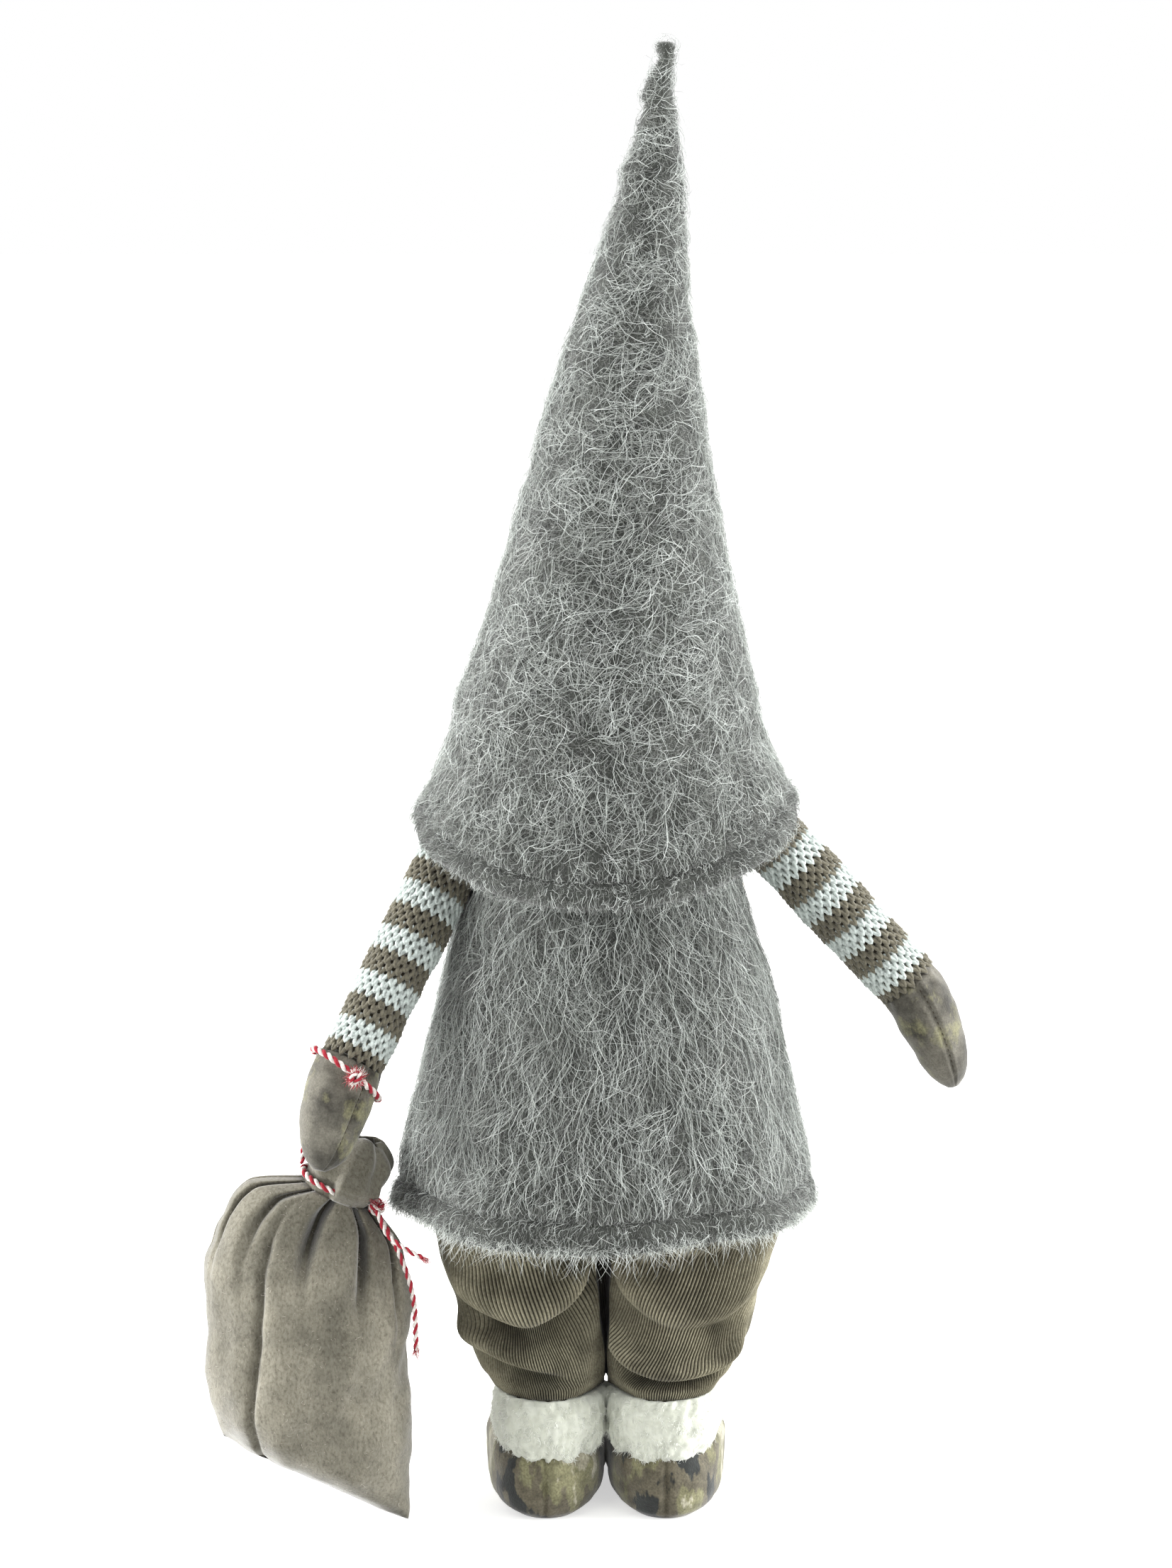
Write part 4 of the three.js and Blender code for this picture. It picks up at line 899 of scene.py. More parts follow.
# mittens: stuffed suede, a stitched seam down the length
mitten = {"sides": 72, "rows": 52, "seam": 1.0, "stitches": 15, "dark": srgb(55, 53, 47),
          "light": srgb(115, 112, 102), "moss": srgb(138, 136, 104), "thread": (58, 50, 38)}
mittenSwell = [[0, 0.93], [0.12, 0.97], [0.3, 1], [0.5, 0.96], [0.7, 0.84], [0.85, 0.66], [0.94, 0.45],
               [1, 0.2]]
suede = layeredFinish(
    "suede", (0.85, 0.35, 0.2), (13, 3), [(0.36, mitten["dark"]), (0.62, mitten["light"])],
    [(0.8, (0.7, 3), [(0.3, srgb(186, 184, 180)), (0.7, white)])],
    patch=((11, 5, (1.2, 1, 0.8), 0.65), [(0.54, black), (0.7, white)], mitten["moss"]),
    relief=((0.6, 3), 0.25))
stitchFinish = fibreFinish("mittenThread", [mitten["thread"]] * 4, root=1.0, roughness=0.8)


def mittenRow(arm, distance):
    middle, along = handMiddle(arm, distance), arm["along"]
    if distance > 0:
        along = unit(handMiddle(arm, distance + 0.5) - handMiddle(arm, distance - 0.5))
    swell = through(mittenSwell, distance / mittenLength)
    size = arm["handRadius"] * (swell + arm["handTop"] * bump(distance - 4, 13))
    if distance < 0:  # inside the sleeve
        size = min(size, sleeveRadius * 0.97 - 1.9)
    row = limbRow(mitten["sides"], middle, along, size, arm["handFlat"] * size)
    angle = turn(mitten["sides"])
    push = 0.4 * wobble(row, 20, 81) + 0.12 * wobble(row, 7, 82) - 0.15
    push += 0.3 * np.cos(11 * angle) * bump(distance - 1, 4.0)  # gathered at the wrist
    for seam in arm["seams"]:
        off = offTurn(angle - seam)
        push -= mitten["seam"] * (bump(off, 0.06) - 0.35 * bump(np.abs(off) - 0.16, 0.07))
    return row + unit(row - middle) * upright(np.clip(size / 8, 0.2, 1) * push)


def mittenStitches(name, arm):  # short threads along the seam
    distances = np.linspace(3, 0.8 * mittenLength, mitten["stitches"])
    corner = int(round(arm["seams"][0] / fullTurn * mitten["sides"]))
    spots = np.array([mittenRow(arm, d)[corner] for d in distances])
    way = unit(np.gradient(spots, axis=0))
    out = unit(spots - np.array([handMiddle(arm, d) for d in distances]))
    paths = np.stack([spots - way * 0.75 + out * 0.1, spots + out * 0.4, spots + way * 0.75 + out * 0.1], 1)
    return fibreMesh(name, paths, 0.2, np.zeros(len(spots), int), 4, 83)


def buildArms():
    shares = np.concatenate([[-0.14, -0.07, -0.005], np.linspace(0.008, 0.9, mitten["rows"]),
                             [0.92, 0.94, 0.96, 0.98, 1]])
    for name, arm in armRows.items():
        body = name + "_arm"
        place(knitSleeve(name + "Sleeve", arm), body, yarns, "knit", [name + "_sleeve"])
        place(sleeveLining(name + "SleeveLining", arm), body, shadedLinings, "knit", fill=0.8)
        rows = [mittenRow(arm, s * mittenLength) for s in shares]
        place(loft(name + "Mitten", rows), body, suede, "suede", [name + "_mitten"], fill=0.85)
        place(mittenStitches(name + "MittenStitches", arm), body, stitchFinish, "suede")


buildArms()
print("arms knitted")


# sack: felt with gathers under the tie, a side seam and an open frill
sack = {"width": 81.0, "depth": 55.0, "drop": 106.0, "neckTall": 4.6, "frill": 15.5, "sides": 200,
        "pleats": 12, "seamTurn": 1.08, "lapTurn": 118.0, "fuzz": 5200, "dark": srgb(99, 97, 87),
        "light": srgb(146, 143, 130),
        "fuzzShades": [(196, 186, 174), (158, 146, 132), (214, 207, 198), (128, 116, 104)]}
# share of the drop, outward, behind, share of the width and of the depth, from the top
sackRows = np.array([
    [0.022, 0, 0, 0.301, 0.385], [0.1, 5.2, 1, 0.75, 0.56], [0.23, 9.2, 2, 0.94, 0.76],
    [0.35, 10.6, 2.5, 0.985, 0.92], [0.54, 11, 3, 1, 1], [0.73, 11.0, 4, 0.995, 0.97],
    [0.87, 10.7, 5, 0.98, 0.83], [0.95, 9.8, 5.5, 0.96, 0.6], [1, 9.0, 6, 0.925, 0.26]])


def sackRow(drop):
    outward, behind, wide, deep = (through(sackRows[:, [0, k]], drop) for k in range(1, 5))
    angle = turn(sack["sides"])
    away = drop * sack["drop"]
    pleat = 0.5 - 2.1 * bump(np.sin(sack["pleats"] / 2 * angle + 0.65 * np.sin(2 * angle) + 0.3), 0.3)
    deepPleat = (0.9 + 6.2 * bump(away - 15, 15)) * bump(away, 42) * (0.7 + 0.3 * np.cos(3 * angle + 1))
    half, deepHalf = wide * sack["width"] / 2, deep * sack["depth"] / 2
    row = ring(sack["sides"], neck + np.array([outward, behind, -away]), slant, yAxis, half, deepHalf)
    out = unit(oval(0, slant, yAxis, 1 / half, 1 / deepHalf, upright(angle)))
    broad = clamp((away - 5) / 20)
    lumps = 1.6 * wobble(row, 40, 91) + 0.6 * wobble(row, 15, 92) - 1.0
    push = pleat * deepPleat - 0.5 * deepPleat + broad * lumps
    seam = bump(offTurn(angle - sack["seamTurn"] - 0.06 * math.sin(away / 20)), 0.035)
    panel = offTurn(angle - sack["seamTurn"])
    push = push + broad * (1.3 * bump(panel - 0.2, 0.14) + 1.0 * bump(panel + 0.22, 0.16) - 3.2 * seam)
    row = row + out * upright(push)
    row[:, 1] += 5.0 * clamp(-np.cos(angle)) ** 2 * clamp((drop - 0.7) / 0.3)  # corner swings out
    return row


def neckRow(upward, half, deep, forward, wave, inward=0.0, lean=0.0):
    angle = turn(sack["sides"])
    folds = 1 + wave * (np.cos(7 * angle + 0.7 * np.sin(2 * angle)) + 0.35 * np.cos(12 * angle + 1))
    centre = neck + neckUp * upward - yAxis * forward - slant * lean
    rise = neckUp * upright(wave * 9 * np.cos(3 * angle + 1.0) * max(0, upward) / 18)
    return ring(sack["sides"], centre, slant, yAxis, half * folds - inward, deep * folds - inward) + rise


def overTie(row, height):  # the frill folds down over part of the tie
    off = np.abs(turn(sack["sides"]) - math.radians(sack["lapTurn"]))
    lap = smooth(clamp((0.66 - off) / 0.2)) * bump(height - 2.0, 4.6)
    return row + ring(sack["sides"], 0, slant, yAxis, 1, 1) * upright(4.2 * lap)


# the felt gets painted shade deep in its gathers and pleats
feltCloth = layeredFinish(
    "felt", (0.95, 0.6, 0.15), (20, 4), [(0.3, sack["dark"]), (0.7, sack["light"])],
    [(0.8, (1.0, 5, (1, 1, 0.6), 0.7),
      [(0.3, srgb(140, 134, 126)), (0.5, srgb(222, 219, 213)), (0.7, white)])],
    paintedShade=(9, 0.7), relief=((0.8, 4), 0.3))


def buildSack():
    drops = stretches((1, 0.86, 14), (0.84, 0.26, 26), (0.24, 0.03, 30))  # closer at both ends
    body = [sackRow(d) for d in drops]
    half, deep, tall, frill = twine["neckWide"], twine["neckDeep"], sack["neckTall"], sack["frill"]
    heights = (-3.2, -tall / 2, -1.2, 0, 1.2, tall / 2)
    top = [overTie(neckRow(h, half - 0.2, deep - 0.2, 0, 0.02), h) for h in heights]
    outer, inner = [], []
    for t in np.linspace(0.06, 1, 16):
        full = math.sin(math.pi * min(1, 0.2 + 0.75 * t))
        roll = 1 - 0.42 * max(0, (t - 0.55) / 0.45) ** 2.2  # the edge of the frill rolls in
        height, folds = tall / 2 + frill * t, 0.03 + 0.09 * t
        spread = ((half + 3.0 * full - 0.6) * roll, (deep + 1.6 * full - 1.8 * t) * roll, 5.0 * t)
        outer.append(overTie(neckRow(height, *spread, folds, 0.0, 2.0 * t), height))
        inner.append(neckRow(height, *spread, folds, lerp(6.0, 1.9, t), 2.0 * t))
    made = loft("sackFelt", body + top + outer + inner[::-1])
    place(made, "sack", feltCloth, "felt", ["sack"], fill=0.6)
    rng = np.random.default_rng(93)
    spot, out = scatter(body, sack["fuzz"] // thinner, rng)
    ways = unit(rng.normal(size=spot.shape))
    fuzz = pilePaths(rng, spot, out, ways, rng.uniform(1.2, 2.8, len(spot)), lift=0.4, curl=0.6, steps=3)
    made = fibreMesh("sackFuzz", fuzz, 0.07, rng.integers(0, 4, len(spot)), 4, 94)
    fuzzFinish = fibreFinish("feltFuzz", sack["fuzzShades"], root=0.9, roughness=0.8)
    place(made, "sack", fuzzFinish, "felt")


buildSack()
print("sack sewn")


# coat and hat: brushed grey mohair, cloth first, then short under hairs and long pale hairs lying on it
pile = {"cloth": srgb(80, 83, 78), "clothDark": srgb(54, 57, 53), "inset": 1.6, "lining": 1.6,
        "mostTriangles": 190000, "sleeveRoom": 0.9, "cutterSides": 32,
        "fuzzCount": 16000, "fuzzRadius": 0.05,
        "under": [(54, 57, 53), (64, 67, 63), (74, 77, 73), (85, 88, 83), (97, 100, 95), (111, 115, 109),
                  (128, 132, 126), (147, 152, 146)],
        "hair": [(100, 104, 98), (115, 119, 113), (130, 134, 128), (145, 150, 144), (161, 167, 161),
                 (179, 185, 180), (199, 205, 200), (220, 226, 222)],
        "fuzz": [(214, 219, 212), (224, 229, 223), (233, 238, 233), (242, 247, 243)]}
pileCloth = clothFinish("pileCloth", pile["clothDark"], pile["cloth"], patch=14.0, grain=0.8,
                        roughness=0.95, sheen=0.6, depth=0.5)
underFibre = fibreFinish("pileUnder", pile["under"], root=0.72, roughness=0.6, sheen=0.5)
hairFibre = fibreFinish("pileHair", pile["hair"], root=0.85, roughness=0.5, sheen=0.6)
fuzzFibre = fibreFinish("pileFuzz", pile["fuzz"], root=0.9, roughness=0.5, sheen=0.6)

coat = {"hem": 111.35, "length": 147.0, "radius": 76.0, "deep": 0.88, "sides": 180, "stitch": 10.0}
coatFlare = [[0, 1], [0.16, 0.934], [0.34, 0.857], [0.52, 0.783], [0.7, 0.69], [0.8, 0.645], [0.88, 0.605],
             [0.95, 0.53], [1, 0.43]]
fringe = {"count": 5000, "radius": 0.068, "longShare": 0.16, "long": (7, 14), "short": (2.2, 5)}


def coatRow(share, inward):
    angle = turn(coat["sides"])
    above = share * coat["length"]
    radius = coat["radius"] * through(coatFlare, share) - inward
    wave = 1.2 * np.sin(8 * angle + 0.8) * (1 - share) ** 2 + 0.7 * np.sin(5 * angle + 2) * (1 - share)
    wave = wave - 1.9 * bump(above - coat["stitch"], 1.8) + 0.6 * bump(above - 4.5, 4.0)  # stitched hem
    row = levelRow(coat["sides"], 0, 0, coat["hem"] + above, radius + wave,
                   coat["deep"] * (radius + inward) - inward + wave)
    row[:, 2] += 1.1 * np.sin(3 * angle + 1.1) * (1 - share) ** 6
    return row + unit(row * [1, 1, 0]) * upright(0.8 * wobble(row, 38, 101))


hat = {"level": 249.85, "zone": 40.5, "tall": 226.5, "cone": 53.5, "brim": 69.4, "brimDeep": 0.9,
       "sideRoll": 2.25, "backDrop": 19.0, "frontRise": 16.5, "lean": 19.8, "sides": 180, "stitch": 9.5,
       "hairTop": 519.0}
brimSwell = [[0, 0.975], [0.05, 1], [0.14, 0.985], [0.31, 0.922], [0.5, 0.862], [0.75, 0.808],
             [1, hat["cone"] / hat["brim"]]]
coneTaper = [[0, 1], [0.163, 0.81], [0.384, 0.58], [0.6, 0.378], [0.812, 0.194], [0.918, 0.098],
             [0.96, 0.066], [1, 0.066]]
coneLean = [[0, 0], [0.163, 0.12], [0.384, 0.25], [0.6, 0.47], [0.812, 0.82], [0.918, 0.91], [1, 1]]


def brimEdge(angle):
    behind = np.sin(angle)
    droop = np.where(behind > 0, -hat["backDrop"], hat["frontRise"]) * np.abs(behind) ** 1.3
    return hat["level"] - hat["sideRoll"] * np.cos(angle) + droop


def edgeAt(spot):
    return brimEdge(np.arctan2(spot[:, 1], spot[:, 0]))


def brimRow(share, inward):
    edge = brimEdge(turn(hat["sides"]))
    above = share * (hat["level"] + hat["zone"] - edge)
    half = hat["brim"] * through(brimSwell, share)
    stitched = -2.1 * bump(above - hat["stitch"], 1.7) + 0.2 * bump(above - 4.5, 3.2)
    deep = lerp(hat["brimDeep"], 1, share) * half
    row = levelRow(hat["sides"], 0, 0, 0.0, half - inward + stitched, deep - inward + stitched)
    row[:, 2] = edge + above
    return row + unit(row * [1, 1, 0]) * upright(0.45 * wobble(row, 36, 111))


def coneRow(share, inward):
    full = hat["cone"] * through(coneTaper, share)
    radius = full - inward * np.clip(full / 12, 0.2, 1)  # the lining thins out towards the tip
    kink = 1.1 * bump(share - 0.935, 0.018) - 0.9 * bump(share - 0.978, 0.012)
    height = hat["level"] + hat["zone"] + share * (hat["tall"] + 3.0)
    row = levelRow(hat["sides"], -hat["lean"] * through(coneLean, share) + kink, 0, height,
                   radius + kink * 0.7, radius + kink * 0.5)
    tuft = 2.0 * bump(share - 0.808, 0.009) * bump(offTurn(turn(hat["sides"]) - 0.2), 0.5)
    lumps = 0.6 * wobble(row, 44, 112) + 0.35 * wobble(row, 17, 113)
    return row + unit(row - row.mean(0)) * upright(tuft + np.clip(radius / 20, 0.1, 1) * lumps)


def sweptSleeves():  # room for each sleeve as it turns
    cutters = []
    grow, count = sleeveRadius + pile["sleeveRoom"], pile["cutterSides"]
    for name, arm in armRows.items():
        rows = shoulderRows(arm, grow, (80, 60, 40, 20), count)
        rows += [limbRow(count, sleeveMiddle(arm, d), arm["along"], grow, grow) for d in (0, arm["length"])]
        for k, degrees in enumerate(arm["turns"]):
            turned = (np.array(rows) - arm["pivot"]) @ spinY(degrees).T + arm["pivot"]
            cutters.append(loft("cutter.%s%d" % (name, k), turned))
    return cutters


def settle(obj):  # the mesh as its modifiers leave it
    made = bpy.data.meshes.new_from_object(obj.evaluated_get(bpy.context.evaluated_depsgraph_get()))
    obj.modifiers.clear()
    old, obj.data = obj.data, made
    bpy.data.meshes.remove(old)
    made.polygons.foreach_set("use_smooth", np.ones(len(made.polygons), bool))
    return made


def cutRoom(obj, cutters):
    for cutter in cutters:
        hole = obj.modifiers.new("armhole", "BOOLEAN")
        hole.operation, hole.object, hole.solver = "DIFFERENCE", cutter, "EXACT"
    settle(obj)


def clearOfSleeves(paths, room):  # fibres that stay out of each sleeve's way through its whole turn
    free = np.ones(len(paths), bool)
    for arm in armRows.values():
        for degrees in np.linspace(arm["turns"][0], arm["turns"][-1], 9):
            along = spinY(degrees) @ arm["along"]
            run = np.clip((paths - arm["pivot"]) @ along, 0, arm["length"])
            gap = np.linalg.norm(paths - arm["pivot"] - run[..., None] * along, axis=-1)
            free &= (gap > sleeveRadius + room).all(-1)
    return free


def skinGrid(rows):  # a skin with its outward directions and the spacing of its grid
    up = np.gradient(rows, axis=0)
    across = (np.roll(rows, -1, 1) - np.roll(rows, 1, 1)) / 2
    return rows, unit(np.cross(across, up)), np.linalg.norm(across, axis=-1), np.linalg.norm(up, axis=-1)


def onSkin(values, row, column):
    n, m = values.shape[:2]
    row = np.clip(row, 0, n - 1.001)
    i, j = row.astype(int), np.floor(column).astype(int)
    f, g = upright(row - i), upright(column - j)
    j, k = j % m, (j + 1) % m
    values = values.reshape(n, m, -1)
    return lerp(lerp(values[i, j], values[i, k], g), lerp(values[i + 1, j], values[i + 1, k], g), f)


def lyingHairs(grid, count, steps, lengthOf, angleOf, curl, height, keep, room, rng):  # follow the cloth
    rows, outs, acrossGap, upGap = grid
    area = (acrossGap * upGap)[:-1].ravel()
    cell = rng.choice(area.size, count, p=area / area.sum())
    row = cell // rows.shape[1] + rng.random(count)
    column = cell % rows.shape[1] + rng.random(count)
    root = onSkin(rows, row, column)
    kept = keep(root)
    row, column, root = row[kept], column[kept], root[kept]
    length = lengthOf(root) * rng.uniform(0.6, 1.2, len(root))
    angle = angleOf(root, rng)
    bend = curl * rng.normal(size=len(root))
    sway = 0.35 * curl * rng.normal(size=len(root))
    high = height * rng.uniform(0.4, 1.3, len(root))
    stray = rng.random(len(root)) < 0.04
    high = np.where(stray, high * 2.2, high)
    paths = []
    step = length / (steps - 1)
    for k in range(steps):
        share = k / (steps - 1)
        spot, out = onSkin(rows, row, column), unit(onSkin(outs, row, column))
        past = np.clip(-row, 0, None) * onSkin(upGap, 0 * row, column)[:, 0]
        rise = np.where(stray, high * share, high * (1 - (1 - 1.5 * share) ** 2)) - 0.35 * (k == 0)
        paths.append(spot + out * upright(rise) - np.outer(past, zAxis))
        way = angle + bend * (share - 0.2) + sway * np.sin(9 * share + 40 * bend)
        row = row - np.cos(way) * step / onSkin(upGap, row, column)[:, 0]
        column = column + np.sin(way) * step / onSkin(acrossGap, row, column)[:, 0]
        row = np.minimum(row, len(rows) - 1.01)
    paths = np.stack(paths, 1)
    free = clearOfSleeves(paths, room)
    return paths[free], root[free]


def placePile(name, paths, thick, shade, shades, seed, finish):  # in parts of limited size
    parts = max(1, math.ceil(len(paths) * (6 * paths.shape[1] - 8) / pile["mostTriangles"]))
    for k in range(parts):
        mine = slice(k, None, parts)
        made = fibreMesh("%s%d" % (name, k + 1), paths[mine], thick[mine], shade[mine], shades, seed + k)
        place(made, "figure", finish, "pile")


def growPile(name, rows, seed, layers, keep, room):
    grid = skinGrid(rows)
    for layer, count, steps, lengthOf, angleOf, curl, height, radius, finish, tone in layers:
        rng = np.random.default_rng(seed)
        paths, root = lyingHairs(grid, count // thinner, steps, lengthOf, angleOf, curl, height, keep, room,
                                 rng)
        shade = tone + 0.8 * wobble(root, 26, seed + 1) + 0.6 * wobble(root, 8, seed + 2)
        shade = np.clip(np.round(shade + rng.normal(size=len(root)) * 1.5), 0, 7).astype(int)
        thick = radius * rng.uniform(0.75, 1.25, len(root))
        placePile(name + layer, paths, thick, shade, 8, seed + 3, finish)
        seed += 20
    rng = np.random.default_rng(seed)  # fine short fuzz that stands off the cloth and catches the light
    spot, out = scatter(rows, pile["fuzzCount"] // thinner, rng)
    kept = keep(spot)
    spot, out = spot[kept], out[kept]
    lay = unit(out + rng.normal(size=spot.shape) * 0.4)
    paths = pilePaths(rng, spot, out, lay, rng.uniform(2.0, 5.0, len(spot)), lift=0.8, curl=0.45, steps=3)
    paths = paths[clearOfSleeves(paths, room)]
    shade = rng.integers(0, 4, len(paths))
    placePile(name + "Fuzz", paths, np.full(len(paths), pile["fuzzRadius"]), shade, 4, seed, fuzzFibre)


def hemFringe(rows, rng):  # pale loose hairs at the hem, most of them short: partly real wisps, partly a painted highlight along the hem's lower edge
    column = rng.integers(0, rows.shape[1], fringe["count"] // thinner)
    spot = lerp(rows[0, column], rows[3, column], rng.random((len(column), 1)))
    out = unit(spot * [1, 1, 0])
    across = np.cross(zAxis, out)
    way = rng.normal(size=(len(spot), 1)) * 0.75
    lay = unit(across * np.sin(way) - zAxis * np.cos(way) + out * 0.25)
    long = rng.random(len(spot)) < fringe["longShare"]
    longer, shorter = (rng.uniform(*fringe[key], len(spot)) for key in ("long", "short"))
    length = np.where(long, longer, shorter)
    paths = pilePaths(rng, spot, out, lay, length, lift=0.3, curl=0.5, steps=5)
    shade = rng.integers(0, 4, len(spot))
    place(fibreMesh("coatHemFringe", paths, fringe["radius"], shade, 4, 141), "figure", fuzzFibre, "pile")


def combedDown(spot, rng):  # turn from straight down, in radians
    return 0.5 * wobble(spot, 24, 121) + 0.4 * wobble(spot, 9, 122) + rng.normal(size=len(spot)) * 0.45


def tousled(spot, rng):  # combed down near the hem, every way further up
    wild = math.pi * np.clip((spot[:, 2] - 258) / 34, 0.3, 1)
    lie = wild * (0.8 * wobble(spot, 19, 123) + 0.6 * wobble(spot, 7, 124))
    return lie + rng.normal(size=len(spot)) * 0.6


def nearStitch(above, full, below):  # hairs are shorter just above the stitched line, so the line shows
    return np.where(above > 0, np.clip(above + 1.5, 2.5, full), below)


def coatHair(full):
    def lengthOf(spot):
        above = spot[:, 2] - coat["hem"] - coat["stitch"]
        return nearStitch(above, full, np.clip(above + 13, 2.0, 5.0))
    return lengthOf


def hatHair(full):  # also shorter towards the tip
    def lengthOf(spot):
        above = spot[:, 2] - edgeAt(spot) - hat["stitch"]
        near = nearStitch(above, full, np.clip(above + 11, 1.5, 5.0))
        return np.minimum(near, lerp(full, 0.5 * full, clamp((spot[:, 2] - 400) / 120)))
    return lengthOf


def buildPileClothes():
    inset, lining = pile["inset"], pile["inset"] + pile["lining"]
    cutters = sweptSleeves()
    shares = stretches((0, 0.16, 22), (0.175, 1, 48))
    outer = np.array([coatRow(s, inset) for s in shares])
    inner = np.array([coatRow(s, lining) for s in shares[::-1]])
    made = loft("coatCloth", np.concatenate([outer, inner]), True)
    cutRoom(made, cutters)
    place(made, "figure", pileCloth, "pile", ["coat"], fill=0.5)
    shares = stretches((0, 0.35, 22), (0.38, 1, 20))
    brim = [brimRow(s, inset) for s in shares]
    cone = [coneRow(s, inset) for s in stretches((0.01, 0.86, 70), (0.87, 0.994, 30))]
    last = cone[-1]
    for size, rise in ((0.97, 0.8), (0.8, 1.4), (0.4, 1.7)):  # blunt tip
        cone.append(lerp(last.mean(0), last, size) + zAxis * rise)
    inner = [coneRow(s, lining) for s in np.linspace(0.5, 0.01, 12)]
    inner += [brimRow(s, inset + lerp(4.0, pile["lining"], min(1, s / 0.3))) for s in shares[::-1]]
    made = loft("hatCloth", np.array(inner + brim + cone))
    cutRoom(made, cutters)
    place(made, "figure", pileCloth, "pile", ["hat"], fill=0.7)
    for cutter in cutters:
        bpy.data.objects.remove(cutter)
    # name, count, steps, length, lie, curl, height, radius, finish, tone
    growPile("coatPile", outer, 131, [
        ("Under", 46000, 3, coatHair(6.0), combedDown, 0.7, 0.8, 0.12, underFibre, 2.0),
        ("Fine", 12000, 6, coatHair(14.0), combedDown, 1.2, 1.6, 0.075, hairFibre, 2.2),
        ("Hair", 9500, 6, coatHair(20.0), combedDown, 1.1, 2.1, 0.105, hairFibre, 4.9)],
        lambda spot: spot[:, 2] < edgeAt(spot) + 7, 0.9)
    hemFringe(outer, np.random.default_rng(140))
    growPile("hatPile", np.array(brim + cone), 231, [
        ("Under", 48000, 3, hatHair(5.5), tousled, 0.9, 0.8, 0.12, underFibre, 1.8),
        ("Fine", 12500, 6, hatHair(13.0), tousled, 1.8, 1.6, 0.075, hairFibre, 2.2),
        ("Hair", 10500, 6, hatHair(19.0), tousled, 1.7, 2.2, 0.105, hairFibre, 4.9)],
        lambda spot: spot[:, 2] < hat["hairTop"], -0.8)


buildPileClothes()
print("coat and hat grown")


# nose and beard on the hidden front
def coatRadius(height):
    return coat["radius"] * through(coatFlare, (height - coat["hem"]) / coat["length"])


nose = {"level": 250.15, "radius": 15.0, "depth": 16.0, "sunk": 2.5, "inset": 0.3, "sides": 56, "rows": 34,
        "clear": [15.5, 16.5, 15.5], "dark": srgb(206, 168, 142), "light": srgb(226, 192, 168)}
noseForward = coat["deep"] * float(coatRadius(nose["level"])) + nose["depth"] - nose["sunk"]
nosePlace = np.array([0, -noseForward, nose["level"]])
noseFinish = clothFinish("noseFelt", nose["dark"], nose["light"], patch=9.0, grain=0.8, roughness=0.9,
                         sheen=0.4, depth=0.25)
beard = {"top": 258.0, "length": 122.0, "width": 92.0, "thick": 13.0, "locks": 9000,
         "columns": 34, "rows": 60, "dark": srgb(214, 206, 196), "light": srgb(236, 231, 223),
         "shades": [(248, 245, 240), (238, 233, 225), (226, 219, 209), (213, 205, 194)]}
beardSpread = [[0, 0.86], [0.18, 1], [0.4, 0.93], [0.65, 0.68], [0.85, 0.38], [1, 0.1]]
beardSwell = [[0, 0.8], [0.12, 1], [0.5, 1], [0.8, 0.75], [1, 0.3]]
beardCloth = clothFinish("beardCloth", beard["dark"], beard["light"], patch=8.0, grain=1.0, roughness=0.95,
                         sheen=0.3, depth=0.4)
beardFibre = fibreFinish("beardFibre", beard["shades"], root=0.75, roughness=0.5)


def beardRow(share):
    height = beard["top"] - share * beard["length"]
    radius = coatRadius(height) + seatGap
    thick = beard["thick"] * through(beardSwell, share) * 0.62
    reach = math.asin(min(0.98, through(beardSpread, share) * beard["width"] / 2 / (radius + thick)))
    t = np.linspace(-1, 1, beard["columns"])
    angle = np.concatenate([reach * t, reach * t[::-1]])
    front = 1 + (thick - 1) * np.sqrt(1 - 0.96 * t * t)
    lumps = 0.8 * np.cos(angle[len(t):] * 26 + 2.4 * math.sin(share * 5))
    out = np.concatenate([np.full(len(t), 0.6), front + lumps])
    y = -(coat["deep"] * radius + out) * np.cos(angle)
    return np.stack([(radius + out) * np.sin(angle), y, height + 0 * angle], -1)


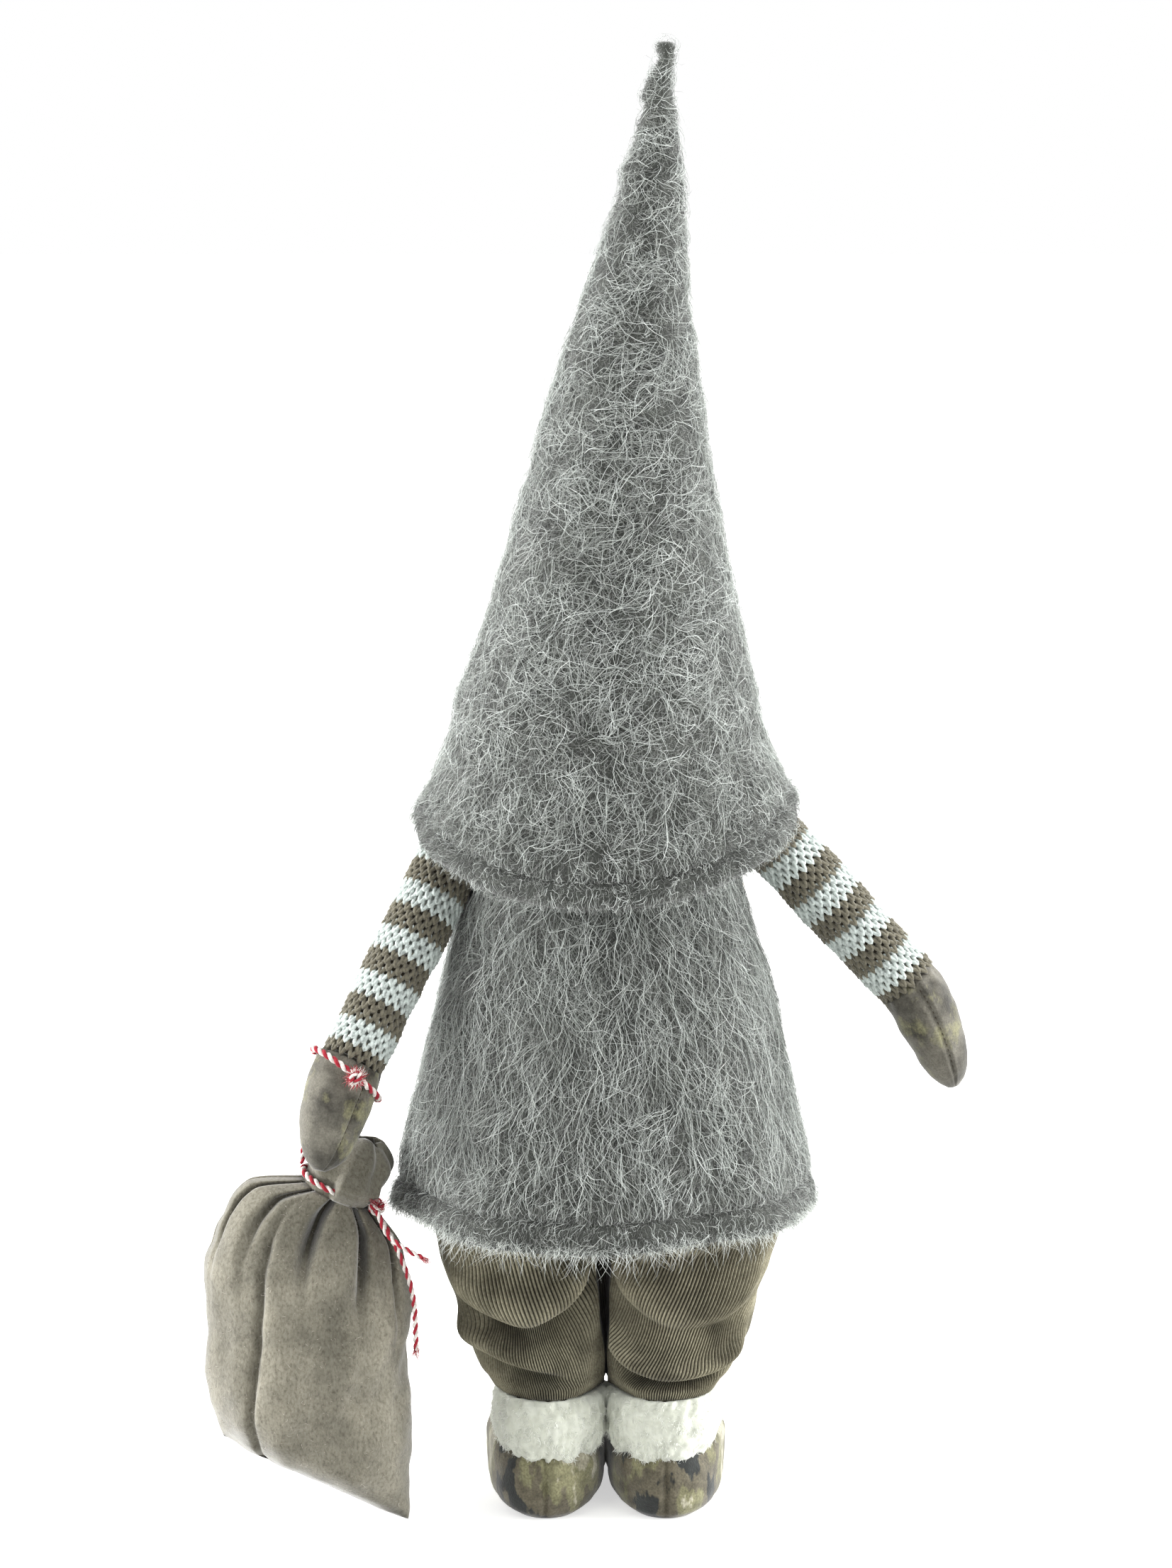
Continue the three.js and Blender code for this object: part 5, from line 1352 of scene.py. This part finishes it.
def buildFace():
    rows = []
    for bend in np.radians(np.linspace(-84, 84, nose["rows"])):
        size = math.cos(bend)
        row = levelRow(nose["sides"], 0, -noseForward, nose["level"] + nose["radius"] * math.sin(bend),
                       size * (nose["radius"] - nose["inset"]), size * (nose["depth"] - nose["inset"]))
        rows.append(row + unit(row - nosePlace) * upright(0.25 * wobble(row, 14, 151)))
    rows = np.array(rows)
    hold = coat["deep"] * coatRadius(rows[..., 2]) + 0.4
    side = np.sqrt(clamp(1 - (rows[..., 0] / (hold / coat["deep"])) ** 2))
    rows[..., 1] = np.minimum(rows[..., 1], -hold * side)  # flat where it is sewn on
    place(loft("noseBall", rows), "figure", noseFinish, "skin", ["nose"], fill=0.95)
    rows = np.array([beardRow(s) for s in np.linspace(0.0, 1, beard["rows"])])
    place(loft("beardBase", rows), "figure", beardCloth, "beard_pile", ["beard"], fill=0.4)
    rng = np.random.default_rng(152)
    spot, out = scatter(rows[::-1, beard["columns"]:], beard["locks"] // thinner, rng)
    out = np.where(out[:, 1:2] > 0, -out, out)
    free = np.linalg.norm((spot - nosePlace) / nose["clear"], axis=1) > 1
    spot, out = spot[free], out[free]
    sway = 0.5 * wobble(spot, 16, 153) - 0.004 * spot[:, 0]
    lay = unit(np.stack([sway, -0.12 + 0 * sway, -1 + 0 * sway], -1))
    length = rng.uniform(15, 26, len(spot)) * np.clip((spot[:, 2] - 128) / 30, 0.45, 1)
    paths = pilePaths(rng, spot, out, lay, length, lift=0.22, curl=0.34, steps=5)
    tone = np.clip(1.5 + 1.2 * wobble(spot, 12, 154) + rng.normal(size=len(spot)) * 0.8, 0, 3).astype(int)
    made = fibreMesh("beardLocks", paths, rng.uniform(0.22, 0.36, len(spot)), tone, 4, 155)
    place(made, "figure", beardFibre, "beard_pile")


buildFace()
print("nose and beard made")


# stuffing, boards, pellet bags and wires inside
inside = {"lumps": 0.5, "stuffing": (srgb(226, 222, 214), srgb(246, 244, 239)),
          "pellets": (srgb(176, 170, 160), srgb(218, 214, 206)),
          "board": (srgb(140, 116, 84), srgb(172, 148, 114)),
          "wire": (srgb(128, 128, 128), srgb(164, 164, 162))}
fillRows = [("torso_filling", "figure", 1.0), ("head", "figure", 1.5), ("hat_filling", "figure", 1.5),
            ("left_leg_filling", "figure", 12.0), ("right_leg_filling", "figure", 12.0),
            ("left_arm_filling", "left_arm", 0.8), ("right_arm_filling", "right_arm", 0.8),
            ("sack_filling", "sack", 9.0)]
stuffingFinish = clothFinish("stuffing", *inside["stuffing"], patch=10.0, grain=1.2, roughness=0.95,
                             sheen=0.2, depth=0.5)
pelletFinish = clothFinish("pelletBag", *inside["pellets"], patch=6.0, grain=2.6, roughness=0.8,
                           sheen=0.1, depth=1.2)
boardFinish = clothFinish("board", *inside["board"], patch=12.0, grain=0.6, roughness=0.85,
                          sheen=0.0, depth=0.1, stretch=(1, 6, 1))
wireFinish = layeredFinish("wire", (0.35, 0.0, 0.5), (1.5, 3), list(zip((0.3, 0.7), inside["wire"])))
wireFinish.node_tree.nodes["Principled BSDF"].inputs["Metallic"].default_value = 1.0


def softCopy(node, finish, body, slot, seed, inward):  # lumpy stuffing in the space of its solid
    obj = bpy.data.objects.new(node + "Soft", nodes[node].data.copy())
    scene.collection.objects.link(obj)
    obj.data.materials.clear()
    finer = obj.modifiers.new("finer", "SUBSURF")
    finer.levels = finer.render_levels = 1
    finer.subdivision_type = "SIMPLE"
    made = settle(obj)
    spot, out = np.zeros((2, len(made.vertices) * 3), np.float32)
    made.vertices.foreach_get("co", spot)
    made.vertices.foreach_get("normal", out)
    spot, out = spot.reshape(-1, 3).astype(float), out.reshape(-1, 3).astype(float)
    lump = mm * (inside["lumps"] * (wobble(spot / mm, 13, seed) - 1.0) / 2 - inward)
    made.vertices.foreach_set("co", (spot + out * upright(lump)).astype(np.float32).ravel())
    made.update()
    place(obj, body, finish, slot, [node], fill=0.8)


def buildInside():
    for k, (node, body, inward) in enumerate(fillRows):
        softCopy(node, stuffingFinish, body, "filling", 161 + k, inward)
    for name, _ in sides:
        softCopy(name + "_boot_weight", pelletFinish, "figure", "pellets", 171, 1.0)
        for node, finish in (("_insole_board", boardFinish), ("_arm_wire", wireFinish)):
            materials = nodes[name + node].data.materials
            materials.clear()
            materials.append(finish)


buildInside()
print("inside filled")
